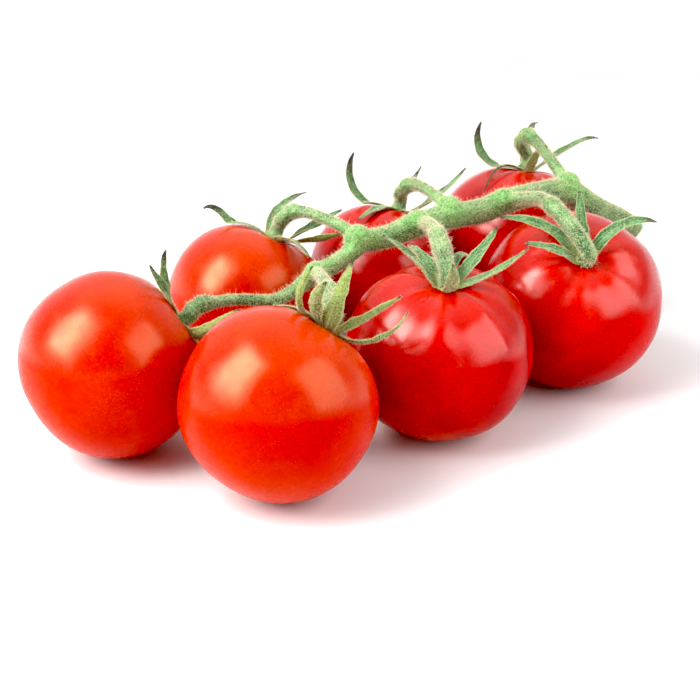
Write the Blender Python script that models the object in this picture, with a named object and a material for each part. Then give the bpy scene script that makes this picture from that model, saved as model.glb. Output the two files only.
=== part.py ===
"""A truss of seven ripe tomatoes, cut from the plant and lying on a table.

A green main stem runs along +X above the gap between a front and a back row of fruit, from the
tomato at its tip (-X) to the end where it was cut (+X). At each of its joints a stalk arches over
to one fruit, and bends at a swollen knuckle, where a ripe fruit snaps off. Each fruit wears a star
of leafy sepals in the dimple at its top, and rests on a small flat pressed into it by its weight.
Everything is in metres with +Z up. The tables below are in millimetres and degrees.
"""

import math
from typing import NamedTuple

import bmesh
import bpy
from mathutils import Matrix, Vector

MM = 0.001

# Driving dimensions, in millimetres unless they say otherwise
PRESSED_FLAT = 0.5  # how far a fruit's underside is flattened by its weight
GAP = 0.3  # between pieces that touch
SKIN_SQUARENESS = 2.15  # exponent of the superellipse that a fruit's outline follows
DIMPLE_SPREAD = 0.30  # radians from the stem axis at which the dimple fades
TIP_SCAR_DEPTH = 0.5
TIP_SCAR_SPREAD = 0.12
SHOULDER_FADE = 0.9  # radians over which the lobes fade from the shoulder down
CALYX_THICKNESS = 1.0
CALYX_HUB_RADIUS = 3.6
SEPAL_CLEARANCE = 0.35  # least air between a sepal and the skin below it
SEPAL_CUP = 0.36  # height of a sepal's edges over its midrib, as a share of its half width
SEPAL_STATIONS = 7
STALK_STEP = 3  # samples between two route points of a stalk
STEM_STEP = 2

# Mesh fineness
FRUIT_RINGS = 14
FRUIT_SEGMENTS = 24
TUBE_BEVEL = 2

# Moves the truss so that the middle of its footprint is at the origin
FOOTPRINT_SHIFT = (-4.89, 6.80)


class Fruit(NamedTuple):
    """One tomato: where it rests, its size and how its stem axis leans."""

    x: float
    y: float
    radius: float
    height_share: float  # half height on the stem's side of the middle, over the radius
    tip_share: float  # the same on the blossom's side
    lean: float  # degrees between the stem axis and straight up
    lean_towards: float  # compass direction of that lean, degrees from +X
    lobes: int
    lobe_depth: float  # depth of the grooves between the lobes, as a share of the radius
    lobe_turn: float
    dimple: float


class Sepal(NamedTuple):
    """One leaf of a calyx, in degrees and millimetres, seen from its hub."""

    azimuth: float
    swerve: float  # how far the leaf turns sideways on its way out
    lift_start: float  # rise over the hub's plane where it leaves the hub
    lift_end: float
    length: float
    width: float


FRUITS = {
    "tip": Fruit(-93.2, 0.6, 30.5, 0.93, 0.95, 63, -9, 6, 0.010, 20, 4.8),
    "front_left": Fruit(-58.8, -51.2, 30.5, 0.91, 1.00, 39, 1, 6, 0.010, 0, 2.8),
    "back_left": Fruit(-27.8, 35.8, 29.5, 0.91, 0.94, 28, 2, 5, 0.014, 35, 3.6),
    "front_middle": Fruit(7.1, -39.5, 31.8, 0.90, 0.90, 13, -111, 7, 0.030, 190, 3.2),
    "back_middle": Fruit(32.0, 37.8, 29.1, 0.92, 0.92, 22, 20, 6, 0.026, 15, 3.4),
    "front_right": Fruit(70.9, -30.0, 33.0, 0.88, 0.90, 38, -116, 6, 0.030, 25, 3.4),
    "back_right": Fruit(95.3, 35.6, 32.8, 0.93, 0.93, 13, 30, 5, 0.034, 0, 2.3),
}

SEPALS = {
    "tip": (
        Sepal(138, 10, 14, 38, 21.5, 5.4),
        Sepal(-175, -22, 19, -10, 23.0, 4.8),
        Sepal(-96, -66, 2, 108, 27.5, 5.2),
        Sepal(-20, 10, 10, 25, 21.0, 5.0),
        Sepal(62, -6, 0, -35, 18.0, 4.6),
    ),
    "front_left": (
        Sepal(169, 65, -12, 96, 24.0, 3.4),
        Sepal(-166, 53, 20, 42, 23.0, 5.4),
        Sepal(-128, -44, 34, 85, 25.5, 6.4),
        Sepal(-73, 7, 50, 65, 24.5, 5.6),
        Sepal(-40, 26, 2, 100, 26.5, 5.6),
        Sepal(45, 15, 5, -45, 20.0, 5.0),
        Sepal(112, 5, 5, -45, 20.0, 5.0),
    ),
    "back_left": (
        Sepal(152, -4, -20, 48, 25.5, 4.6),
        Sepal(84, -82, 44, 36, 31.0, 4.8),
        Sepal(-100, 26, 26, -24, 24.5, 5.0),
        Sepal(-44, 4, 52, 52, 25.5, 5.0),
        Sepal(0, -16, 16, 40, 26.0, 4.6),
    ),
    "front_middle": (
        Sepal(152, -15, 60, 28, 25.0, 4.6),
        Sepal(92, -10, 25, -20, 22.0, 5.0),
        Sepal(48, -30, 30, -50, 23.5, 4.6),
        Sepal(6, 10, 32, 44, 23.0, 5.4),
        Sepal(-34, 20, 20, 46, 27.0, 3.8),
        Sepal(-107, -35, 50, 67, 20.0, 4.8),
    ),
    "back_middle": (
        Sepal(159, -16, -18, 106, 32.0, 5.2),
        Sepal(63, -70, 31, 78, 25.5, 5.0),
        Sepal(-20, -17, 36, 67, 30.0, 5.0),
        Sepal(-150, -12, 9, -42, 23.5, 5.0),
        Sepal(-89, -24, 0, 16, 22.5, 5.0),
    ),
    "front_right": (
        Sepal(155, 5, 45, 12, 22.5, 4.4),
        Sepal(112, 42, 28, -10, 31.0, 5.2),
        Sepal(70, -2, 8, 28, 22.0, 5.4),
        Sepal(26, -55, 60, -20, 27.5, 5.0),
    ),
    "back_right": (
        Sepal(146, -8, -22, 112, 30.5, 5.4),
        Sepal(-108, 0, 46, 43, 12.5, 5.6),
        Sepal(-24, -15, 42, 34, 29.5, 5.0),
        Sepal(-172, 24, 36, -75, 30.0, 2.4),
        Sepal(62, -34, 52, 46, 29.0, 4.4),
    ),
}

# Routes as (x, y, z, thickness). The main stem goes from its cut end to the tip's knuckle.
MAIN_STEM_ROUTE = (
    (129.8, 3.0, 37.8, 8.2),
    (126.6, 3.0, 40.6, 8.4),
    (117.2, 3.0, 46.2, 8.6),
    (105.9, 3.0, 52.2, 8.6),
    (93.6, 3.0, 59.8, 9.4),
    (80.4, 2.8, 60.7, 8.6),
    (71.0, 2.4, 60.9, 8.2),
    (61.4, 2.0, 60.2, 9.2),
    (53.0, 1.6, 58.8, 8.4),
    (45.4, 1.0, 58.8, 8.6),
    (37.5, 1.0, 59.5, 9.6),
    (30.0, 0.4, 59.0, 8.6),
    (22.0, 0.0, 58.6, 9.0),
    (13.0, 0.0, 56.5, 8.0),
    (5.0, -0.6, 56.2, 7.6),
    (-1.2, -1.0, 56.6, 7.6),
    (-7.0, -2.0, 52.9, 6.2),
    (-13.5, -3.0, 50.8, 6.0),
    (-20.7, -4.0, 49.4, 6.0),
    (-25.6, -3.5, 46.2, 4.8),
    (-31.0, -3.0, 43.4, 4.2),
    (-36.4, -2.0, 42.0, 4.2),
    (-43.0, -1.5, 43.3, 3.6),
    (-50.0, -1.0, 44.7, 3.4),
    (-56.5, -1.5, 45.4, 3.8),
    (-61.7, -2.0, 46.0, 4.6),
)
BUD_STUB_ROUTE = ((-35.8, -2.6, 41.6, 4.0), (-35.3, -3.4, 39.6, 3.6), (-35.1, -3.9, 38.0, 2.6))

# Each stalk from its joint on the main stem to its knuckle
UPPER_STALK_ROUTES = {
    "front_left": (
        (-20.7, -4.0, 49.8, 3.8),
        (-23.9, -12.0, 52.6, 3.6),
        (-28.0, -23.0, 54.9, 3.6),
        (-31.4, -33.0, 55.4, 4.4),
    ),
    "back_left": (
        (-1.2, -1.0, 57.1, 5.0),
        (-4.3, 4.0, 60.5, 4.0),
        (-7.3, 13.0, 62.1, 3.8),
        (-9.8, 22.0, 62.5, 4.0),
        (-12.1, 28.6, 61.5, 4.6),
    ),
    "front_middle": (
        (23.0, 0.0, 59.4, 4.6),
        (21.8, -7.0, 61.4, 4.2),
        (17.2, -19.0, 64.0, 4.2),
        (13.2, -28.0, 64.4, 4.9),
    ),
    "back_middle": (
        (37.8, 1.0, 61.2, 5.0),
        (37.4, 7.0, 63.8, 4.0),
        (38.5, 16.0, 64.7, 3.8),
        (39.2, 26.0, 64.4, 4.0),
        (38.9, 31.5, 62.8, 4.6),
    ),
    "front_right": (
        (61.4, 2.0, 61.1, 4.6),
        (64.0, -6.0, 63.6, 4.4),
        (62.6, -19.0, 67.4, 4.4),
        (60.4, -29.0, 67.7, 5.1),
    ),
    "back_right": (
        (94.2, 3.0, 61.6, 5.0),
        (94.9, 9.0, 64.8, 4.4),
        (96.2, 18.0, 68.8, 4.2),
        (96.9, 27.0, 72.8, 4.4),
        (96.2, 33.0, 74.8, 5.2),
    ),
}
# Each stalk from below its knuckle to above its calyx
LOWER_STALK_ROUTES = {
    "tip": ((-66.0, -2.3, 44.8, 4.8),),
    "front_left": ((-36.2, -41.6, 55.2, 5.2),),
    "back_left": ((-14.6, 32.4, 57.4, 5.0),),
    "front_middle": ((9.8, -35.4, 62.6, 6.2),),
    "back_middle": ((38.6, 36.5, 58.4, 4.8),),
    "front_right": ((60.6, -36.6, 64.6, 5.8),),
    "back_right": ((96.4, 37.4, 70.4, 5.2),),
}
STALK_FOOT_THICKNESS = 4.6
STALK_FOOT_RISE = 0.7  # the hub's rim stands this much over its middle, where the foot sits
STALK_FOOT_LENGTH = 4.0  # straight length of a stalk above its calyx


def skin_radius(fruit: Fruit, polar: float, azimuth: float) -> float:
    """Distance from a fruit's middle to its skin, polar being the angle from the stem axis."""
    across = math.sin(polar)
    along = math.cos(polar) / (fruit.height_share if polar < math.pi / 2 else fruit.tip_share)
    power = SKIN_SQUARENESS
    oblate = fruit.radius / (abs(across) ** power + abs(along) ** power) ** (1 / power)
    strength = math.sqrt(max(across, 0.0)) * (0.35 + 0.65 * math.exp(-((polar / SHOULDER_FADE) ** 2)))
    wave = math.cos(fruit.lobes * azimuth + math.radians(fruit.lobe_turn))
    wave += 0.35 * math.cos((fruit.lobes - 2) * azimuth + math.radians(2 * fruit.lobe_turn))
    groove = fruit.lobe_depth * strength * (1.35 - wave) / 2
    dimple = fruit.dimple * math.exp(-((polar / DIMPLE_SPREAD) ** 2))
    scar = TIP_SCAR_DEPTH * math.exp(-(((math.pi - polar) / TIP_SCAR_SPREAD) ** 2))
    return oblate * (1 - groove) - dimple - scar


def skin_point(fruit: Fruit, polar: float, azimuth: float) -> Vector:
    """A point of the skin in the fruit's own frame, whose Z is the stem axis."""
    reach = skin_radius(fruit, polar, azimuth)
    across = math.sin(polar) * reach
    return Vector((across * math.cos(azimuth), across * math.sin(azimuth), math.cos(polar) * reach))


def lean_rotation(fruit: Fruit) -> Matrix:
    """Rotation that takes the fruit's own frame into the world's."""
    lean = math.radians(fruit.lean)
    towards = math.radians(fruit.lean_towards)
    axis = Vector((math.sin(lean) * math.cos(towards), math.sin(lean) * math.sin(towards), math.cos(lean)))
    side = (Vector((1, 0, 0)) - axis * axis.x).normalized()
    return Matrix((side, axis.cross(side), axis)).transposed()


def skin_grid(fruit: Fruit) -> list[Vector]:
    """Skin points ring by ring, the stem pole first and the blossom pole last."""
    points = [skin_point(fruit, 0.0, 0.0)]
    for ring in range(1, FRUIT_RINGS):
        polar = math.pi * ring / FRUIT_RINGS
        for step in range(FRUIT_SEGMENTS):
            points.append(skin_point(fruit, polar, math.tau * step / FRUIT_SEGMENTS))
    points.append(skin_point(fruit, math.pi, 0.0))
    return points


def fruit_matrix(fruit: Fruit) -> Matrix:
    """Place of a fruit in the world, in millimetres, pressed a little into the table."""
    rotation = lean_rotation(fruit)
    lowest = min((rotation @ point).z for point in skin_grid(fruit))
    middle = Vector((fruit.x, fruit.y, -lowest - PRESSED_FLAT))
    return Matrix.Translation(middle) @ rotation.to_4x4()


def in_metres(matrix: Matrix) -> Matrix:
    """The same place with its translation in metres."""
    return Matrix.Translation(matrix.translation * MM) @ matrix.to_3x3().to_4x4()


def make_material(name: str, colour: tuple[float, float, float], roughness: float) -> bpy.types.Material:
    """A plain Principled material."""
    material = bpy.data.materials.new(name)
    material.use_nodes = True
    shader = material.node_tree.nodes["Principled BSDF"]
    shader.inputs["Base Color"].default_value = (*colour, 1.0)
    shader.inputs["Roughness"].default_value = roughness
    shader.inputs["Metallic"].default_value = 0.0
    return material


def add_object(name: str, data, material: bpy.types.Material, parent: bpy.types.Object) -> bpy.types.Object:
    """Links a named object with one material under the truss's empty."""
    data.materials.append(material)
    made = bpy.data.objects.new(name, data)
    bpy.context.scene.collection.objects.link(made)
    made.parent = parent
    return made


def finish_mesh(name: str, mesh_work: bmesh.types.BMesh) -> bpy.types.Mesh:
    """Turns a bmesh into a smooth-shaded mesh with its faces pointing out."""
    bmesh.ops.recalc_face_normals(mesh_work, faces=mesh_work.faces)
    mesh = bpy.data.meshes.new(name)
    mesh_work.to_mesh(mesh)
    mesh_work.free()
    mesh.shade_smooth()
    return mesh


def make_tomato(name: str, fruit: Fruit, material: bpy.types.Material, parent: bpy.types.Object) -> None:
    """A lobed, slightly flattened fruit, cut off flat where it rests on the table."""
    work = bmesh.new()
    verts = [work.verts.new(point * MM) for point in skin_grid(fruit)]
    for step in range(FRUIT_SEGMENTS):
        after = (step + 1) % FRUIT_SEGMENTS
        work.faces.new((verts[0], verts[1 + step], verts[1 + after]))
        for ring in range(FRUIT_RINGS - 2):
            upper = 1 + ring * FRUIT_SEGMENTS
            lower = upper + FRUIT_SEGMENTS
            work.faces.new((verts[upper + step], verts[lower + step], verts[lower + after], verts[upper + after]))
        last = 1 + (FRUIT_RINGS - 2) * FRUIT_SEGMENTS
        work.faces.new((verts[last + step], verts[-1], verts[last + after]))
    place = in_metres(fruit_matrix(fruit))
    to_own = place.inverted()
    table_point = to_own @ Vector((0, 0, 0))
    table_normal = to_own.to_3x3() @ Vector((0, 0, -1))
    everything = work.verts[:] + work.edges[:] + work.faces[:]
    bmesh.ops.bisect_plane(
        work, geom=everything, plane_co=table_point, plane_no=table_normal, clear_outer=True, dist=1e-5
    )
    rim = [edge for edge in work.edges if edge.is_boundary]
    bmesh.ops.contextual_create(work, geom=rim)
    made = add_object(name, finish_mesh(name, work), material, parent)
    made.matrix_local = place


def clear_of_skin(fruit: Fruit, point: Vector, clearance: float) -> Vector:
    """Moves a point of a fruit's frame outwards until it clears the skin."""
    reach = point.length
    polar = math.acos(max(-1.0, min(1.0, point.z / reach)))
    least = skin_radius(fruit, polar, math.atan2(point.y, point.x)) + clearance
    return point * max(1.0, least / reach)


def sepal_width_share(along: float) -> float:
    """Width of a sepal over its full width: fullest a third of the way out, then a long point."""
    return (0.78 + 0.9 * along) * (1 - along) ** 0.85 + 0.06


def sepal_sections(fruit: Fruit, sepal: Sepal, hub_height: float) -> list[list[Vector]]:
    """Cross-sections (right edge, midrib, left edge) from a sepal's root to near its tip."""
    clearance = SEPAL_CLEARANCE + CALYX_THICKNESS / 2
    start = math.radians(sepal.azimuth)
    spot = Vector((math.cos(start), math.sin(start), 0)) * CALYX_HUB_RADIUS + Vector((0, 0, hub_height))
    sections = []
    steps_each = 4
    for station in range(SEPAL_STATIONS):
        share = station / SEPAL_STATIONS
        azimuth = math.radians(sepal.azimuth + sepal.swerve * share)
        lift = math.radians(sepal.lift_start + (sepal.lift_end - sepal.lift_start) * share)
        sideways = Vector((-math.sin(azimuth), math.cos(azimuth), 0))
        outward = Vector((math.cos(azimuth) * math.cos(lift), math.sin(azimuth) * math.cos(lift), math.sin(lift)))
        upward = outward.cross(sideways)
        half = sepal.width * sepal_width_share(share) / 2
        rim_rise = upward * half * SEPAL_CUP * min(1.0, 3 * share)
        section = [spot - sideways * half + rim_rise, spot.copy(), spot + sideways * half + rim_rise]
        sections.append([clear_of_skin(fruit, point, clearance) for point in section])
        for step in range(steps_each):
            part = (station + (step + 0.5) / steps_each) / SEPAL_STATIONS
            azimuth = math.radians(sepal.azimuth + sepal.swerve * part)
            lift = math.radians(sepal.lift_start + (sepal.lift_end - sepal.lift_start) * part)
            level = math.cos(lift)
            stride = sepal.length / SEPAL_STATIONS / steps_each
            spot = spot + Vector((math.cos(azimuth) * level, math.sin(azimuth) * level, math.sin(lift))) * stride
    tip = clear_of_skin(fruit, spot, clearance)
    sections.append([tip])
    return sections


def hub_height_of(fruit: Fruit) -> float:
    """Height of a calyx's middle plane over the fruit's middle, along the stem axis."""
    return skin_radius(fruit, 0.0, 0.0) + SEPAL_CLEARANCE + CALYX_THICKNESS / 2


def calyx_sheet(fruit: Fruit, sepals: tuple[Sepal, ...]) -> tuple[list[Vector], list[tuple[int, ...]]]:
    """The calyx as one open sheet: its points, and its faces seen from above."""
    hub_height = hub_height_of(fruit)
    points = [Vector((0, 0, hub_height))]
    faces = []
    ring = []
    for sepal in sorted(sepals, key=lambda leaf: leaf.azimuth):
        sections = sepal_sections(fruit, sepal, hub_height)
        rows = []
        for section in sections:
            rows.append(list(range(len(points), len(points) + len(section))))
            points.extend(section)
        for near, far in zip(rows[:-2], rows[1:-1]):
            faces.append((near[0], far[0], far[1], near[1]))
            faces.append((near[1], far[1], far[2], near[2]))
        last, tip = rows[-2], rows[-1][0]
        faces.append((last[0], tip, last[1]))
        faces.append((last[1], tip, last[2]))
        ring.extend(rows[0])
    for here, after in zip(ring, ring[1:] + ring[:1]):
        faces.append((0, here, after))
    return points, faces


def make_calyx(
    name: str, fruit: Fruit, sepals: tuple[Sepal, ...], material: bpy.types.Material, parent: bpy.types.Object
) -> None:
    """A one-piece star of sepals: the sheet thickened to both sides and closed along its outline."""
    points, faces = calyx_sheet(fruit, sepals)
    work = bmesh.new()
    sheet = [work.verts.new(point * MM) for point in points]
    for face in faces:
        work.faces.new([sheet[index] for index in face])
    work.normal_update()
    offset = CALYX_THICKNESS * MM / 2
    normals = [vert.normal.copy() for vert in sheet]
    top = [work.verts.new(vert.co + normal * offset) for vert, normal in zip(sheet, normals)]
    below = [work.verts.new(vert.co - normal * offset) for vert, normal in zip(sheet, normals)]
    rim = [(edge.verts[0].index, edge.verts[1].index) for edge in index_edges(work) if edge.is_boundary]
    for face in faces:
        work.faces.new([top[index] for index in face])
        work.faces.new([below[index] for index in reversed(face)])
    for one, other in rim:
        work.faces.new((top[one], top[other], below[other], below[one]))
    bmesh.ops.delete(work, geom=sheet, context="VERTS")
    made = add_object(name, finish_mesh(name, work), material, parent)
    made.matrix_local = in_metres(fruit_matrix(fruit))


def index_edges(work: bmesh.types.BMesh) -> list[bmesh.types.BMEdge]:
    """The edges of a bmesh, with its vertices numbered."""
    work.verts.index_update()
    return work.edges[:]


def smooth_route(route, steps: int) -> list[tuple[Vector, float]]:
    """Points and thicknesses on a Catmull-Rom curve through a route's points."""
    rows = [Vector(row[:3]) for row in route]
    widths = [row[3] for row in route]
    ends = [2 * rows[0] - rows[1], *rows, 2 * rows[-1] - rows[-2]]
    widths = [widths[0], *widths, widths[-1]]
    samples = []
    for index in range(1, len(ends) - 2):
        before, start, finish, beyond = ends[index - 1 : index + 3]
        for step in range(steps):
            t = step / steps
            spot = 0.5 * (
                2 * start
                + (finish - before) * t
                + (2 * before - 5 * start + 4 * finish - beyond) * t * t
                + (3 * start - before - 3 * finish + beyond) * t**3
            )
            samples.append((spot, widths[index] * (1 - t) + widths[index + 1] * t))
    samples.append((ends[-2], widths[-2]))
    return samples


def tube_curve(name: str, samples: list[tuple[Vector, float]]) -> bpy.types.Curve:
    """A round, closed tube through the samples, as a curve with a bevel and filled ends."""
    curve = bpy.data.curves.new(name, "CURVE")
    curve.dimensions = "3D"
    curve.bevel_depth = MM
    curve.bevel_resolution = TUBE_BEVEL
    curve.use_fill_caps = True
    spline = curve.splines.new("POLY")
    spline.points.add(len(samples) - 1)
    for point, (spot, thickness) in zip(spline.points, samples):
        point.co = (*(spot * MM), 1.0)
        point.radius = thickness / 2
    return curve


def tube_mesh(name: str, samples: list[tuple[Vector, float]]) -> bpy.types.Mesh:
    """The same tube as a mesh, for joining."""
    guide = bpy.data.objects.new(name, tube_curve(name, samples))
    mesh = bpy.data.meshes.new_from_object(guide)
    bpy.data.objects.remove(guide)
    work = bmesh.new()
    work.from_mesh(mesh)
    bmesh.ops.remove_doubles(work, verts=work.verts, dist=1e-6)
    bmesh.ops.recalc_face_normals(work, faces=work.faces)
    work.to_mesh(mesh)
    work.free()
    return mesh


def split_at_knuckle(route, knuckle: int, steps: int):
    """Splits a smooth route at one of its points, leaving square ends with a gap between them."""
    samples = smooth_route(route, steps)
    cut = knuckle * steps
    spot, thickness = samples[cut]
    along = (samples[cut + 1][0] - samples[cut - 1][0]).normalized()
    straight = thickness / 4
    upper = samples[:cut] + [(spot - along * (GAP / 2 + straight), thickness), (spot - along * GAP / 2, thickness)]
    lower = [(spot + along * GAP / 2, thickness), (spot + along * (GAP / 2 + straight), thickness)]
    return upper, lower + samples[cut + 1 :]


def stalk_foot(fruit: Fruit) -> list[tuple[float, float, float, float]]:
    """The last two route points of a stalk, straight down onto its calyx."""
    place = fruit_matrix(fruit)
    hub_top = hub_height_of(fruit) + CALYX_THICKNESS / 2 + GAP + STALK_FOOT_RISE
    above = place @ Vector((0, 0, hub_top + STALK_FOOT_LENGTH))
    touch = place @ Vector((0, 0, hub_top))
    return [(*above, STALK_FOOT_THICKNESS), (*touch, STALK_FOOT_THICKNESS)]


def make_stems(material: bpy.types.Material, parent: bpy.types.Object) -> None:
    """The main stem grown together with its upper stalks, and the seven lower stalks."""
    joined = {"bud_stub": smooth_route(BUD_STUB_ROUTE, STALK_STEP)}
    for name, fruit in FRUITS.items():
        upper_route = UPPER_STALK_ROUTES.get(name, MAIN_STEM_ROUTE)
        steps = STALK_STEP if name in UPPER_STALK_ROUTES else STEM_STEP
        route = (*upper_route, *LOWER_STALK_ROUTES[name], *stalk_foot(fruit))
        joined[name], lower = split_at_knuckle(route, len(upper_route) - 1, steps)
        add_object(f"stalk_{name}", tube_curve(f"stalk_{name}", lower), material, parent)
    main_stem = add_object("main_stem", tube_mesh("main_stem", joined.pop("tip")), material, parent)
    for name, samples in joined.items():
        branch = add_object(f"branch_{name}", tube_mesh(f"branch_{name}", samples), material, parent)
        branch.hide_render = True
        branch.display_type = "WIRE"
        union = main_stem.modifiers.new(f"grow_{name}", "BOOLEAN")
        union.operation = "UNION"
        union.solver = "EXACT"
        union.object = branch


def main() -> None:
    """Clears the scene and builds the truss."""
    for existing in list(bpy.data.objects):
        bpy.data.objects.remove(existing)
    truss = bpy.data.objects.new("truss", None)
    truss.location = Vector((*FOOTPRINT_SHIFT, 0.0)) * MM
    bpy.context.scene.collection.objects.link(truss)
    orange_red = make_material("tomato_skin_orange_red", (0.82, 0.075, 0.012), 0.22)
    deep_red = make_material("tomato_skin_deep_red", (0.72, 0.012, 0.010), 0.20)
    green = make_material("green_stem", (0.17, 0.34, 0.10), 0.65)
    leaf_green = make_material("green_sepal", (0.14, 0.30, 0.09), 0.70)
    early = ("tip", "front_left", "back_left")
    for name, fruit in FRUITS.items():
        make_tomato(f"tomato_{name}", fruit, orange_red if name in early else deep_red, truss)
        make_calyx(f"calyx_{name}", fruit, SEPALS[name], leaf_green, truss)
    make_stems(green, truss)


main()
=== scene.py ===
"""Looks of a truss of seven ripe vine tomatoes that lies on a pale table.

The main stem runs along +X above the gap between a front and a back row of fruit. At each of its
joints a stalk arches over to one fruit and bends at a swollen knuckle, and each fruit wears a star
of leafy sepals. Sizes are in millimetres and angles in degrees unless a name says otherwise; meshes
are scaled to metres as they are made.
"""

import logging
import math
from dataclasses import dataclass
from enum import Enum
from typing import Callable, Optional

import bpy
import numpy as np
from mathutils import Matrix, Vector
from mathutils.kdtree import KDTree


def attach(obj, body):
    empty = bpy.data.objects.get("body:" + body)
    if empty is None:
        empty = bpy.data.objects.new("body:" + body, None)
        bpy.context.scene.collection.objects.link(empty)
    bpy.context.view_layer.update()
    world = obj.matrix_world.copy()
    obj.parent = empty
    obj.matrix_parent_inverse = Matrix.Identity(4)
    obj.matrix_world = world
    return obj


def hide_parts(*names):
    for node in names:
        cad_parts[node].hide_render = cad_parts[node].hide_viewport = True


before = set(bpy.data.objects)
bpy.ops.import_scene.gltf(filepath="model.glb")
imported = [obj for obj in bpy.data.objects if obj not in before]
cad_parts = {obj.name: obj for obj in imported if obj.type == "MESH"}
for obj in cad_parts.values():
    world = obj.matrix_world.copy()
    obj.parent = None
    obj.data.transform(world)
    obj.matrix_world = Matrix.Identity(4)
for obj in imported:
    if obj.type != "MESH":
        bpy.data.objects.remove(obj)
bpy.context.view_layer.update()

LOG = logging.getLogger("tomato_truss")
MM = 0.001
BODY = "root"
# Moves the truss from the layout's own zero to the middle of its footprint
FOOTPRINT_SHIFT = np.array((-4.89, 6.80, 0.0))

SMALLEST = 1e-12  # least length that is divided by
MIDDLE_WAVES = 12

Colour = tuple[float, float, float]
Points = np.ndarray
Faces = list[tuple[int, ...]]


class Slot(Enum):
    """Material slots of the record."""

    SKIN_ORANGE_RED = "skin_orange_red"
    SKIN_DEEP_RED = "skin_deep_red"
    STEM = "stem"
    SEPAL = "sepal"


# ---------------------------------------------------------------- small mesh and curve helpers


def smoothstep(low: float, high: float, value: np.ndarray) -> np.ndarray:
    """Hermite step from 0 at low to 1 at high.

    Args:
        low: Value where the step starts.
        high: Value where it ends.
        value: Where to read it.

    Returns:
        The step's height for each value.
    """
    share = np.clip((np.asarray(value, float) - low) / (high - low), 0.0, 1.0)
    return share * share * (3 - 2 * share)


def unit(vectors: np.ndarray) -> np.ndarray:
    """The same vectors at length 1."""
    return vectors / np.maximum(np.linalg.norm(vectors, axis=-1, keepdims=True), SMALLEST)


def wander(places: np.ndarray, pitch: float, seed: int, waves: int = MIDDLE_WAVES) -> np.ndarray:
    """Smooth random undulation, made of a few crossed waves.

    Args:
        places: Points, one a row, in millimetres.
        pitch: Typical distance between two crests.
        seed: Seed of the draw.
        waves: How many waves are added up.

    Returns:
        A value of about -1 to 1 for each point.
    """
    draw = np.random.default_rng(seed)
    ways = unit(draw.normal(size=(waves, 3))) * (math.tau / pitch) * draw.uniform(0.7, 1.5, (waves, 1))
    turns = draw.uniform(0, math.tau, waves)
    return np.sin(places @ ways.T + turns).sum(axis=1) / math.sqrt(waves * 2)


def catmull_rom(route: np.ndarray, steps: int) -> np.ndarray:
    """Samples a smooth curve through a route's points.

    Args:
        route: Rows of x, y, z, thickness.
        steps: Samples between two rows.

    Returns:
        Sampled rows of x, y, z, thickness.
    """
    ends = np.vstack((2 * route[0] - route[1], route, 2 * route[-1] - route[-2]))
    ends[0, 3], ends[-1, 3] = route[0, 3], route[-1, 3]
    rows = []
    for index in range(1, len(ends) - 2):
        before, start, finish, beyond = ends[index - 1 : index + 3]
        for step in range(steps):
            t = step / steps
            row = 0.5 * (
                2 * start
                + (finish - before) * t
                + (2 * before - 5 * start + 4 * finish - beyond) * t * t
                + (3 * start - before - 3 * finish + beyond) * t**3
            )
            row[3] = start[3] * (1 - t) + finish[3] * t
            rows.append(row)
    rows.append(ends[-2])
    return np.array(rows)


def relax(samples: np.ndarray, rounds: int) -> np.ndarray:
    """Evens out a sampled route's small kinks, with its ends held.

    Args:
        samples: Rows of x, y, z, thickness.
        rounds: How often each row moves towards the mean of its neighbours.

    Returns:
        The relaxed rows.
    """
    rows = samples.copy()
    for _ in range(rounds):
        rows[1:-1] = 0.5 * rows[1:-1] + 0.25 * (rows[:-2] + rows[2:])
    return rows


def arc_lengths(samples: np.ndarray) -> np.ndarray:
    """Distance along a sampled route, from its first row."""
    steps = np.linalg.norm(np.diff(samples[:, :3], axis=0), axis=1)
    return np.concatenate(((0.0,), np.cumsum(steps)))


def carried_frames(samples: np.ndarray) -> tuple[np.ndarray, np.ndarray, np.ndarray]:
    """Frames carried along a route without turning about it.

    Args:
        samples: Rows of x, y, z, thickness.

    Returns:
        Tangents, sides and tops, one a row.
    """
    tangents = unit(np.gradient(samples[:, :3], axis=0))
    side = unit(np.cross(tangents[0], (0.0, 0.0, 1.0)) + np.array((1e-6, 0, 0)))
    sides = []
    for tangent in tangents:
        side = unit(side - tangent * (side @ tangent))
        sides.append(side)
    sides = np.array(sides)
    return tangents, sides, np.cross(sides, tangents)


def new_mesh(name: str, points: Points, faces: Faces, scale: float = MM) -> bpy.types.Mesh:
    """A smooth-shaded mesh.

    Args:
        name: Name of the mesh.
        points: Corners, one a row.
        faces: Corner numbers of each face.
        scale: Metres for each of the points' units.

    Returns:
        The mesh.
    """
    mesh = bpy.data.meshes.new(name)
    mesh.from_pydata((np.asarray(points) * scale).tolist(), [], faces)
    mesh.validate()
    mesh.shade_smooth()
    return mesh


def make_attribute(
    mesh: bpy.types.Mesh, name: str, kind: str, field_name: str, values: np.ndarray
) -> None:
    """Stores values on a mesh's points, for a material to read.

    Args:
        mesh: The mesh.
        name: The name that the material asks for.
        kind: Data type of the attribute.
        field_name: Name of the attribute's own field.
        values: One number or one vector for each point.
    """
    made = mesh.attributes.new(name, kind, "POINT")
    made.data.foreach_set(field_name, np.asarray(values, np.float32).ravel())


def add_value(mesh: bpy.types.Mesh, name: str, values: np.ndarray) -> None:
    """Stores one number for each point."""
    make_attribute(mesh, name, "FLOAT", "value", values)


def add_vector(mesh: bpy.types.Mesh, name: str, values: np.ndarray) -> None:
    """Stores one vector for each point."""
    make_attribute(mesh, name, "FLOAT_VECTOR", "vector", values)


def mesh_points(mesh: bpy.types.Mesh) -> np.ndarray:
    """All points of a mesh, in its own units."""
    flat = np.zeros(len(mesh.vertices) * 3, np.float32)
    mesh.vertices.foreach_get("co", flat)
    return flat.reshape(-1, 3).astype(float)


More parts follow.
